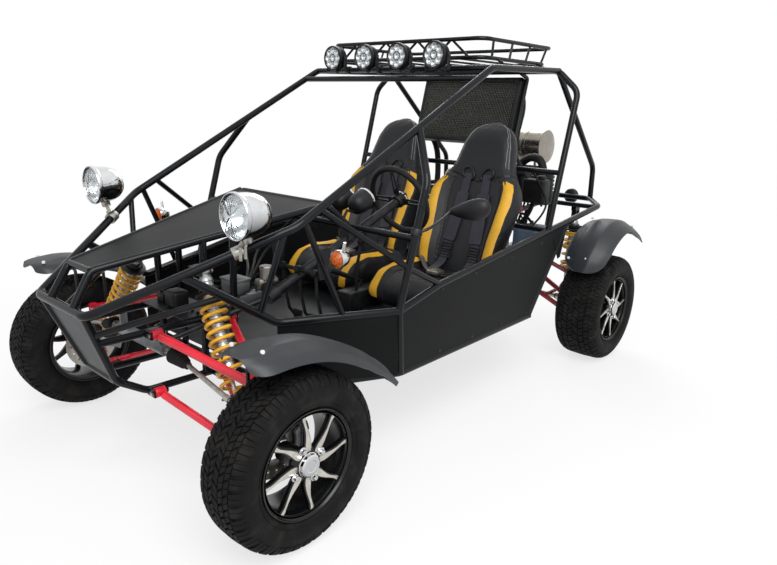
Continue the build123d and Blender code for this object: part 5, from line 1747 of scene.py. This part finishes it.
class BUGGY_OT_radiator(bpy.types.Operator):
    """Model the radiator's guard mesh, fins, frame, fan and hoses"""

    bl_idname = "buggy.radiator"
    bl_label = "Radiator"

    def execute(self, context):
        frame_bars, half, low, high = [], GUARD_HALF, GUARD_LOW, GUARD_HIGH
        ahead = (on_radiator(0, 1.4, 1) - on_radiator(0, 1.4)).normalized()
        for y0, y1, z0, z1 in (
            (-half, half, low, low + 0.022), (-half, half, high - 0.022, high),
            (-half, -half + 0.022, low, high), (half - 0.022, half, low, high),
        ):
            bar = [on_radiator(y, z, 0.001) for y, z in ((y0, z0), (y1, z0), (y1, z1), (y0, z1))]
            frame_bars.append(plate("bar", bar, ahead * 0.017, 0.002, 2))
        dress(join("radiator_frame", frame_bars), black_plastic, "radiator_black")
        fins = []
        for i in range(int((high - low - 0.05) / 0.011)):
            z = low + 0.028 + 0.011 * i
            row = [on_radiator(y, z + k, 0.0008)
                for y, k in ((-half + 0.02, 0), (half - 0.02, 0), (half - 0.02, 0.003),
                (-half + 0.02, 0.003))]
            fins.append(plate("fin", row, ahead * 0.005))
        dress(join("radiator_fins", fins), dark_steel, "radiator_black")
        dress(self.guard(), mesh_wire, "radiator_black")
        dress(self.fan(-ahead), black_plastic, "radiator_black")
        hoses = [
            pipe("hose", [on_radiator(-0.27, 1.27, -0.06), on_radiator(-0.27, 1.24, -0.13),
            (-0.97, -0.26, 1.05), (-0.93, -0.24, 0.92), (-0.87, -0.19, 0.83)], 0.018, curved=True),
            pipe("hose", [on_radiator(0.28, 1.56, -0.06), on_radiator(0.3, 1.52, -0.13),
            (-0.93, 0.31, 1.28), (-0.98, 0.27, 1.0), (-0.92, 0.2, 0.86)], 0.018, curved=True),
        ]
        dress(join("radiator_hoses", hoses), hard_rubber, "wheel_grip", 60)
        return {"FINISHED"}

    def guard(self):
        """Fine square mesh of wire held in the frame."""
        pitch, half = sizes().guard_pitch, GUARD_HALF - 0.012
        tall = (GUARD_HIGH - GUARD_LOW) / 0.9667 - 0.024
        deselect()
        bpy.ops.mesh.primitive_grid_add(x_subdivisions=int(tall / pitch),
            y_subdivisions=int(2 * half / pitch), size=1)
        guard = bpy.context.object
        guard.name = "radiator_guard"
        place = on_radiator(0, (GUARD_LOW + GUARD_HIGH) / 2, 0.012)
        up = (on_radiator(0, 2) - on_radiator(0, 1)).normalized()
        for vertex in guard.data.vertices:
            vertex.co = place + up * vertex.co.x * tall + Vector(LEFT) * vertex.co.y * 2 * half
        modify(guard, "WIREFRAME", thickness=0.0021, use_even_offset=False)
        return guard

    def fan(self, way):
        """Ring, blades, motor and stays behind the core."""
        centre = on_radiator(0, 1.42, -0.055)
        place = to_axis(centre, way)
        ring = turned("ring", mm((148, 0), (156, 0), (156, 45), (152, 50), (148, 45)), centre, way, 56)
        hub = turned("hub", mm((0, 4), (40, 4), (42, 8), (42, 34), (36, 40), (26, 42), (26, 75), (20, 80),
            (0, 80)), centre, way, 40)
        made = [ring, hub]
        for i in range(7):
            a = tau * i / 7
            rows = []
            for r, wide, twist in ((0.036, 0.03, 0.7), (0.09, 0.04, 0.5), (0.143, 0.046, 0.35)):
                rows.append([place @ Vector((r * cos(a) - k * wide * cos(twist) * sin(a),
                    r * sin(a) + k * wide * cos(twist) * cos(a), 0.02 + k * wide * sin(twist) + t))
                    for k, t in ((-0.5, 0), (0.5, 0), (0.5, 0.003), (-0.5, 0.003))])
            made.append(skin("blade", rows))
        for i in range(3):
            a = tau * i / 3 + 0.3
            made.append(pipe("stay", [place @ Vector((r * cos(a), r * sin(a), 0.046))
                for r in (0.02, 0.152)], 0.005))
        return join("radiator_fan", made)


class BUGGY_OT_engine_bay(bpy.types.Operator):
    """Model the engine's castings, cover, intake, belt drive, boots, hoses and battery"""

    bl_idname = "buggy.engine_bay"
    bl_label = "Engine bay"

    def execute(self, context):
        dress(self.cover(), gloss_black, "cast_aluminium")
        dress(self.castings(), cast_alloy, "cast_aluminium")
        dress(self.intake(), black_plastic, "mirror_black", 40)
        dress(self.belt_drive(), zinc_steel, "steel")
        dress(self.belt(), hard_rubber, "wheel_grip")
        pair(self.boots(), hard_rubber, "wheel_grip", 50)
        dress(self.canister(), black_plastic, "mirror_black")
        dress(self.bay_hoses(), hard_rubber, "wheel_grip", 60)
        dress(self.pump(), dark_red_enamel, "arm_dark_red")
        battery, posts = self.battery()
        dress(battery, battery_blue, "plate_grey")
        dress(posts, dark_steel, "steel")
        return {"FINISHED"}

    def cover(self):
        """Valve cover with ribs, filler cap and plug leads."""
        made = [slab("cover", (RX + 0.218, -0.182, 0.8805), (RX + 0.402, 0.182, 0.905), 0.008, 3)]
        made += [slab("rib", (RX + 0.235 + 0.03 * i, -0.16, 0.9), (RX + 0.245 + 0.03 * i, 0.16, 0.911),
            0.003) for i in range(6)]
        made.append(turned("cap", mm((0, 0), (26, 0), (28, 4), (28, 16), (22, 20), (0, 20)),
            (RX + 0.26, 0.14, 0.905), UP, 18))
        for y in (-0.12, -0.04, 0.04, 0.12):
            lead = [Vector((RX + 0.375, y, 0.905)), Vector((RX + 0.375, y, 0.95)),
                Vector((RX + 0.43, y + 0.03, 0.955)), Vector((RX + 0.455, y * 0.4 + 0.02, 0.86)),
                Vector((RX + 0.47, y * 0.3, 0.705))]
            made.append(pipe("lead", lead, 0.004, curved=True))
        return join("engine_cover", made)

    def castings(self):
        """Fins, webs, gearbox ribs and covers, bell housing and starter."""
        made = []
        for i in range(6):
            z = 0.712 + 0.02 * i
            made.append(slab("fin", (RX + 0.182, -0.219, z), (RX + 0.438, 0.219, z + 0.006), 0.0015, 1))
        for y in (-0.19, -0.095, 0, 0.095, 0.19):
            made.append(slab("web", (RX + 0.135, y - 0.005, 0.44), (RX + 0.525, y + 0.005, 0.69), 0.002, 1))
        for i in range(5):
            x = RX - 0.07 + 0.05 * i
            made.append(slab("rib", (x, -0.156, 0.27), (x + 0.009, 0.156, 0.526), 0.002, 1))
        for s in (1, -1):
            made.append(turned("flange", mm((0, 0), (78, 0), (82, 4), (82, 12), (70, 16), (0, 16)),
                (RX, s * 0.15, 0.311), (0, s, 0), 40))
            made += [bolt((RX + 0.068 * cos(a), s * 0.164, 0.311 + 0.068 * sin(a)), (0, s, 0))
                for a in (tau * i / 8 for i in range(8))]
        rear = ((-0.1, 0.275), (0.1, 0.275), (0.13, 0.305), (0.13, 0.46), (0.1, 0.49), (-0.1, 0.49),
            (-0.13, 0.46), (-0.13, 0.305))
        made.append(plate("rear_cover", [(RX - 0.094, y, z) for y, z in rear], (-0.018, 0, 0), 0.004, 2))
        made += [bolt((RX - 0.112, y * 0.92, 0.383 + (z - 0.383) * 0.92), (-1, 0, 0), 0.007)
            for y, z in rear]
        made.append(turned("output", mm((0, 0), (60, 0), (56, 12), (50, 22), (30, 26), (0, 26)),
            (RX - 0.11, 0, 0.39), (-1, 0, 0), 32))
        made.append(turned("bell", mm((0, -30), (170, -30), (172, -20), (160, 0), (120, 30), (0, 30)),
            (RX + 0.14, 0, 0.5), (-1, 0, 0), 48))
        made.append(turned("starter", mm((0, 0), (40, 0), (43, 4), (43, 120), (36, 130), (20, 150),
            (0, 150)), (RX + 0.12, 0.195, 0.56), (-1, 0, 0.05), 32))
        return join("engine_castings", made)

    def intake(self):
        """Runners, plenum, ribbed duct and the filter box."""
        made = [turned("plenum", even((0, -200), (30, -200), (36, -192)), (RX + 0.095, 0, 0.84), LEFT, 28)]
        for y in (-0.135, -0.045, 0.045, 0.135):
            made.append(pipe("runner", [(RX + 0.2, y, 0.79), (RX + 0.14, y, 0.8), (RX + 0.1, y, 0.835)],
                0.02, curved=True))
        made.append(slab("box", (RX - 0.06, 0.1, 0.93), (RX + 0.2, 0.325, 1.09), 0.02, 4))
        made.append(slab("lid", (RX - 0.066, 0.094, 1.055), (RX + 0.206, 0.331, 1.068), 0.004, 2))
        made += [slab("rib", (RX - 0.04 + 0.05 * i, 0.115, 1.086), (RX - 0.03 + 0.05 * i, 0.31, 1.097),
            0.003, 1) for i in range(5)]
        count, line = 9, []
        for i in range(count):
            line += [(0.031, 0.016 * i), (0.037, 0.016 * i + 0.004), (0.037, 0.016 * i + 0.009),
                (0.031, 0.016 * i + 0.013)]
        made.append(turned("duct", [(0, -0.01), *line, (0, 0.016 * count)], (RX + 0.09, 0.2, 0.82),
            (0, 0.12, 1), 28))
        for x in (RX - 0.02, RX + 0.15):
            made.append(pipe("stay", [(x, 0.31, 0.95), (x, 0.345, 0.9), (x, 0.345, 0.85)], 0.007))
        return join("engine_intake", made)

    def belt_drive(self):
        """Pulleys and alternator on the right-hand end of the block."""
        made = []
        for x, z, r in self.pulleys():
            groove = [(0, 0), (r, 0), (r + 0.002, 0.002), (r - 0.003, 0.008), (r + 0.002, 0.014),
                (r, 0.017), (r * 0.6, 0.017), (r * 0.5, 0.012), (0.014, 0.012), (0.012, 0.022), (0, 0.022)]
            made.append(turned("pulley", groove, (x, -0.238, z), (0, -1, 0), 40))
        made.append(turned("alternator", mm((0, 0), (50, 0), (56, 6), (56, 50), (52, 56), (52, 95),
            (40, 110), (0, 110)), (RX + 0.5, -0.215, 0.79), LEFT, 32))
        made.append(slab("vent", (RX + 0.496, -0.15, 0.735), (RX + 0.504, -0.12, 0.848), 0.001, 1))
        made.append(pipe("arm", [(RX + 0.44, -0.2, 0.69), (RX + 0.48, -0.2, 0.74)], 0.01))
        return join("engine_pulleys", made)

    def pulleys(self):
        return ((RX + 0.3, 0.53, 0.062), (RX + 0.5, 0.79, 0.034), (RX + 0.29, 0.76, 0.048))

    def belt(self):
        """Belt round the three pulleys."""
        spots = []
        for x, z, r in self.pulleys():
            spots += [Vector((x + (r + 0.002) * cos(a), 0, z + (r + 0.002) * sin(a)))
                for a in (tau * i / 36 for i in range(36))]
        spots = self.round_hull(spots)
        middle_at = sum(spots, Vector()) / len(spots)
        rows = []
        for p in spots:
            out = (p - middle_at).normalized() * 0.004
            rows.append([p + Vector((0, -0.241, 0)), p + Vector((0, -0.252, 0)),
                p + out + Vector((0, -0.252, 0)), p + out + Vector((0, -0.241, 0))])
        return skin("engine_belt", rows + rows[:1], cap=False)

    def round_hull(self, spots):
        """Outer ring of points in the XZ plane."""
        order = sorted(spots, key=lambda p: (p.x, p.z))
        ring = []
        for run in (order, order[::-1]):
            part = []
            for p in run:
                while len(part) > 1 and (part[-1] - part[-2]).cross(p - part[-2]).y >= 0:
                    part.pop()
                part.append(p)
            ring += part[:-1]
        return ring

    def boots(self):
        """Folded rubber boots at both ends of a half shaft."""
        made = []
        for start, way, big in ((0.19, 1, 0.046), (0.6, -1, 0.044)):
            line = [(0, 0), (big, 0)]
            for i in range(5):
                r = lerp(big, 0.024, i / 4)
                line += [(r, 0.006 + 0.014 * i), (r + 0.002, 0.01 + 0.014 * i),
                    (r - 0.006, 0.016 + 0.014 * i)]
            line += mm((17.5, 82), (17.5, 92), (0, 92))
            made.append(turned("boot", line, (RX, start, 0.311), (0, way, 0), 32))
        return join("shaft_boots", made)

    def canister(self):
        """Ribbed air filter can and the coolant tank, held on the left bay rail."""
        line = mm((0, 0), (50, 0), (64, 12))
        for i in range(7):
            line += [(0.064, 0.02 + 0.022 * i), (0.07, 0.024 + 0.022 * i), (0.07, 0.034 + 0.022 * i),
                (0.064, 0.038 + 0.022 * i)]
        can = turned("can", [*line, (0.066, 0.18), (0.06, 0.192), (0.03, 0.2), (0, 0.2)],
            (-1.03, 0.45, 0.9), UP, 36)
        tank = slab("tank", (-0.93, 0.42, 0.925), (-0.85, 0.56, 1.06), 0.014, 4)
        cap = turned("cap", mm((0, 0), (22, 0), (24, 4), (24, 16), (20, 20), (0, 20)), (-0.89, 0.52, 1.06),
            UP, 16)
        stays = [pipe("stay", [(x, 0.345, 0.86), (x, 0.36, 0.93), (x, 0.43, 0.945)], 0.007)
            for x in (-1.02, -0.89)]
        return join("bay_canister", [can, tank, cap, *stays])

    def bay_hoses(self):
        """Hoses and leads that cross the bay."""
        runs = (
            (0.024, (-1.03, 0.45, 1.1), (-1.03, 0.44, 1.15), (-1.06, 0.36, 1.17), (-1.1, 0.27, 1.13),
            (-1.1, 0.25, 1.09)),
            (0.013, (-0.89, 0.48, 0.93), (-0.9, 0.46, 0.86), (-0.93, 0.36, 0.76), (-0.95, 0.24, 0.74)),
            (0.011, (-0.89, 0.44, 1.05), (-0.9, 0.38, 1.12), (-0.91, 0.31, 1.2), (-0.89, 0.3, 1.27)),
            (0.008, (-0.99, 0.43, 0.79), (-1.0, 0.36, 0.85), (-1.06, 0.3, 0.8), (-1.12, 0.24, 0.6)),
            (0.008, (-0.86, 0.43, 0.79), (-0.82, 0.4, 0.86), (-0.78, 0.3, 0.84), (-0.76, 0.2, 0.7)),
            (0.006, (-0.78, 0.55, 0.82), (-0.84, 0.6, 0.9), (-0.86, 0.56, 1.0), (-0.83, 0.5, 1.1)),
        )
        return join("bay_hoses", [pipe("hose", line, r, curved=True) for r, *line in runs])

    def pump(self):
        """Fuel pump on the bay rail behind the left seat."""
        body = mm((0, -40), (30, -40), (34, -36), (34, 30), (28, 36), (14, 40), (14, 50), (0, 50))
        pump = turned("pump", body, (-0.81, 0.41, 0.895), (0.2, 1, 0.1), 28)
        return join("fuel_pump", [pump, pipe("stay", [(-0.81, 0.345, 0.84), (-0.81, 0.39, 0.875)], 0.008)])

    def battery(self):
        """Battery in a strapped tray hung from the rails, and its posts."""
        x0, x1, y0, y1, z0 = -1.02, -0.83, 0.4, 0.55, 0.62
        case = slab("case", (x0, y0, z0), (x1, y1, z0 + 0.165), 0.006, 3)
        lid = slab("lid", (x0 - 0.002, y0 - 0.002, z0 + 0.14), (x1 + 0.002, y1 + 0.002, z0 + 0.152), 0.002,
            2)
        battery = join("battery_case", [case, lid])
        made = [slab("tray", (x0 - 0.008, y0 - 0.008, z0 - 0.005), (x1 + 0.008, y1 + 0.008, z0 - 0.0005),
            0.001, 1)]
        for x in (x0 + 0.03, x1 - 0.03):
            made.append(pipe("hanger", [(x, y1 + 0.004, z0), (x, y1 + 0.006, 0.76), (x, 0.69, 0.835)],
                0.005))
            made.append(pipe("hanger", [(x, y0 - 0.004, z0), (x, y0 - 0.006, 0.76), (x, 0.35, 0.83)],
                0.005))
            made.append(turned("post", mm((0, 0), (11, 0), (9, 18), (0, 18)), (x, y0 + 0.03, z0 + 0.165),
                UP, 18))
        made.append(slab("clamp", (x0 + 0.08, y0 - 0.003, z0 + 0.1655), (x0 + 0.11, y1 + 0.003, z0 + 0.169),
            0.001, 1))
        return battery, join("battery_tray", made)


class BUGGY_OT_exhaust(bpy.types.Operator):
    """Model the muffler's end caps, bands and tail pipe"""

    bl_idname = "buggy.exhaust"
    bl_label = "Exhaust"

    def execute(self, context):
        centre, made = Vector((RX - 0.2, 0, 1.205)), []
        for s in (1, -1):
            cap = mm((0, 14), (40, 13.5), (75, 10), (90, 4), (98, 3.5), (104.5, 1), (105, -3), (104, -9),
                (100, -11), (0, -11))
            made.append(turned("cap", cap, centre + Vector((0, s * 0.25, 0)), (0, s, 0), 56))
            band = even((100.5, -14), (104, -14), (104.5, -12))
            made.append(turned("band", band, centre + Vector((0, s * 0.13, 0)), LEFT, 56))
        tail = [centre + Vector(p) for p in ((0, 0.06, -0.05), (-0.025, 0.06, -0.14),
            (-0.065, 0.06, -0.17))]
        made.append(pipe("tail", tail, 0.024, sides=8))
        made.append(turned("tip", mm((0, -30), (19, -30), (19, 3), (25, 3), (26, 0), (26, -12), (0, -12)),
            tail[-1], (tail[-1] - tail[-2]).normalized(), 32))
        dress(join("muffler_trim", made), exhaust_steel, "exhaust_steel")
        return {"FINISHED"}


# Mirror, panel fasteners, nose bay and tail lamps

MIRROR_AT = Vector((0.2, 0.792, 1.036))


class BUGGY_OT_side_mirror(bpy.types.Operator):
    """Model the drop-shaped side mirror, its glass, arm and clamp"""

    bl_idname = "buggy.side_mirror"
    bl_label = "Side mirror"

    def execute(self, context):
        along_way = Vector((-0.15, 0.97, 0.17)).normalized()
        rows = []
        for t, tall, deep in (
            (-0.1, 0.009, 0.009), (-0.09, 0.013, 0.012), (-0.07, 0.021, 0.017), (-0.04, 0.033, 0.026),
            (-0.01, 0.042, 0.033),
            (0.02, 0.047, 0.036), (0.045, 0.046, 0.035), (0.065, 0.04, 0.031), (0.078, 0.03, 0.024),
            (0.086, 0.016, 0.014), (0.088, 0.004, 0.004),
        ):
            ring = []
            for i in range(24):
                a = tau * i / 24
                x = deep * cos(a) if cos(a) > 0 else 0.4 * deep * cos(a)
                ring.append(MIRROR_AT + along_way * t + Vector((x, 0, tall * sin(a))))
            rows.append(ring)
        head = skin("mirror_head", rows)
        smooth(head)
        dress(head, black_plastic, "mirror_black", 60, ["mirror"])
        rim = [MIRROR_AT + along_way * (0.018 + 0.056 * cos(a)) + Vector((-0.0135, 0, 0.037 * sin(a)))
            for a in (tau * i / 32 for i in range(32))]
        dress(plate("mirror_pane", rim, (-0.002, 0, 0), 0.0006, 1), mirror_glass, "lamp_chrome")
        foot, post = Vector((0.433, 0.7, 0.96)), Vector((-0.147, 0, 0.498)).normalized()
        arm = [foot, foot + Vector((-0.012, 0.032, 0.008)), Vector((0.33, 0.73, 0.992)),
            MIRROR_AT + along_way * -0.09]
        arm = pipe("arm", arm, 0.0065, curved=True)
        clamp = turned("clamp", even((14.3, -14), (21.5, -14), (22.5, -12)), foot, post, 28)
        dress(join("mirror_arm", [arm, clamp, bolt(foot + Vector((0, 0.022, -0.004)), LEFT, 0.005)]),
            dark_steel, "steel")
        return {"FINISHED"}


class BUGGY_OT_fasteners(bpy.types.Operator):
    """Model the side panels' screws and corner plates"""

    bl_idname = "buggy.fasteners"
    bl_label = "Fasteners"

    def execute(self, context):
        corner = [Vector((x, 0.7085, z)) for x, z in ((-0.86, 0.79), (-0.72, 0.775), (-0.79, 0.655),
            (-0.82, 0.66))]
        sill = [Vector((x, 0.7085, z)) for x, z in ((-0.86, 0.8), (-0.6, 0.768), (-0.3, 0.742), (0, 0.716),
            (0.25, 0.694))]
        floor = [Vector((x, 0.7085, 0.412)) for x in (-0.5, -0.25, 0, 0.25, 0.5)]
        screws = [self.dome(p, LEFT) for p in (*sill, *floor)]
        pair(join("panel_screws", screws), dark_steel, "steel", 50)
        pair(plate("panel_corner", corner, (0, 0.002, 0), 0.0008, 1), satin_panel, "panel_black")
        return {"FINISHED"}

    def dome(self, place, axis, r=0.0075):
        return turned("screw", [(0, -0.003), (r, -0.003), (r, 0.0006), (r * 0.8, 0.0022), (r * 0.4, 0.003),
            (0, 0.003)], place, axis, 14)


class BUGGY_OT_nose_bay(bpy.types.Operator):
    """Model what sits under the hood: boxes, brake cylinder, cables and hoses"""

    bl_idname = "buggy.nose_bay"
    bl_label = "Nose bay"

    def execute(self, context):
        boxes = [
            slab("coil", (1.05, -0.03, 0.64), (1.12, 0.05, 0.71), 0.014, 4),
            slab("shelf", (0.98, -0.16, 0.632), (1.15, 0.16, 0.637), 0.001, 1),
            slab("relay", (1.04, -0.12, 0.637), (1.1, -0.07, 0.675), 0.004, 2),
        ]
        dress(join("nose_boxes", boxes), black_plastic, "mirror_black")
        frame_box = [
            slab("unit", (0.86, 0.09, 0.69), (0.93, 0.19, 0.75), 0.004, 2),
            slab("unit_lid", (0.856, 0.086, 0.742), (0.934, 0.194, 0.752), 0.002, 2),
            slab("beam", (0.8, 0.13, 0.648), (0.95, 0.19, 0.684), 0.003, 2),
        ]
        dress(join("nose_unit", frame_box), cast_alloy, "cast_aluminium")
        cylinder = mm((0, -50), (14, -50), (17, -46), (17, 30), (22, 34), (22, 45), (12, 50), (0, 50))
        master = [turned("master", cylinder, (0.8, 0.22, 0.73), AHEAD, 28),
            turned("bottle", mm((0, 0), (22, 0), (26, 4), (26, 40), (28, 41), (28, 52), (24, 56), (0, 56)),
            (0.8, 0.22, 0.743), UP, 28)]
        dress(join("brake_cylinder", master), zinc_steel, "steel")
        runs = []
        for i, y in enumerate((0.06, 0.1, 0.14, -0.08)):
            runs.append(pipe("cable", [(0.75, y + 0.05, 0.74), (0.86, y, 0.65 - 0.01 * i),
                (1.0, y * 0.6, 0.6), (1.08, y, 0.645)], 0.0045, curved=True))
        for s in (1, -1):
            runs.append(pipe("hose", [(0.83, 0.22, 0.725), (0.95, s * 0.2, 0.7), (1.06, s * 0.3, 0.62),
                (1.09, s * 0.45, 0.56)], 0.0045, curved=True))
        dress(join("nose_cables", runs), hard_rubber, "wheel_grip", 60)
        return {"FINISHED"}


class BUGGY_OT_tail_lamps(bpy.types.Operator):
    """Model the round tail lamps at the back of the side loop"""

    bl_idname = "buggy.tail_lamps"
    bl_label = "Tail lamps"

    def execute(self, context):
        place = Vector((-1.478, 0.42, 0.905))
        cup = mm((0, -5), (30, -5), (44, 4), (46, 10), (46, 26), (43, 27), (42, 12), (0, 12))
        lens = mm((0, 13), (41.5, 13), (41.5, 26), (36, 31), (20, 34), (0, 34.5))
        pair(turned("tail_cup", cup, place, BACK, 40), black_plastic, "lamp_black")
        pair(turned("tail_lens", lens, place, BACK, 40), red_glass, "lens_amber", 50)
        return {"FINISHED"}


# Registration

OPERATORS = (
    BUGGY_OT_stage,
    BUGGY_OT_frame_finish,
    BUGGY_OT_tyres,
    BUGGY_OT_rims,
    BUGGY_OT_fenders,
    BUGGY_OT_seats,
    BUGGY_OT_harness,
    BUGGY_OT_coilovers,
    BUGGY_OT_headlamps,
    BUGGY_OT_indicators,
    BUGGY_OT_roof_lamps,
    BUGGY_OT_steering_wheel,
    BUGGY_OT_controls,
    BUGGY_OT_arms,
    BUGGY_OT_brakes,
    BUGGY_OT_rack_boots,
    BUGGY_OT_radiator,
    BUGGY_OT_engine_bay,
    BUGGY_OT_exhaust,
    BUGGY_OT_side_mirror,
    BUGGY_OT_fasteners,
    BUGGY_OT_nose_bay,
    BUGGY_OT_tail_lamps,
)


class BUGGY_PT_pieces(bpy.types.Panel):
    """Sidebar list of the buggy's sizes, colours and pieces"""

    bl_idname = "BUGGY_PT_pieces"
    bl_label = "Dune Buggy"
    bl_space_type = "VIEW_3D"
    bl_region_type = "UI"
    bl_category = "Buggy"

    def draw(self, context):
        for group in (context.scene.buggy_colours, context.scene.buggy_sizes):
            for key in group.__annotations__:
                self.layout.prop(group, key)
        for operator in OPERATORS:
            self.layout.operator(operator.bl_idname)


CLASSES = (BuggyColours, BuggySizes, *OPERATORS, BUGGY_PT_pieces)


def register():
    for kind in CLASSES:
        bpy.utils.register_class(kind)
    bpy.types.Scene.buggy_colours = bpy.props.PointerProperty(type=BuggyColours)
    bpy.types.Scene.buggy_sizes = bpy.props.PointerProperty(type=BuggySizes)


def unregister():
    del bpy.types.Scene.buggy_sizes
    del bpy.types.Scene.buggy_colours
    for kind in reversed(CLASSES):
        bpy.utils.unregister_class(kind)


def main():
    register()
    for operator in OPERATORS:
        getattr(bpy.ops.buggy, operator.bl_idname.split(".")[1])()


if __name__ == "__main__":
    main()
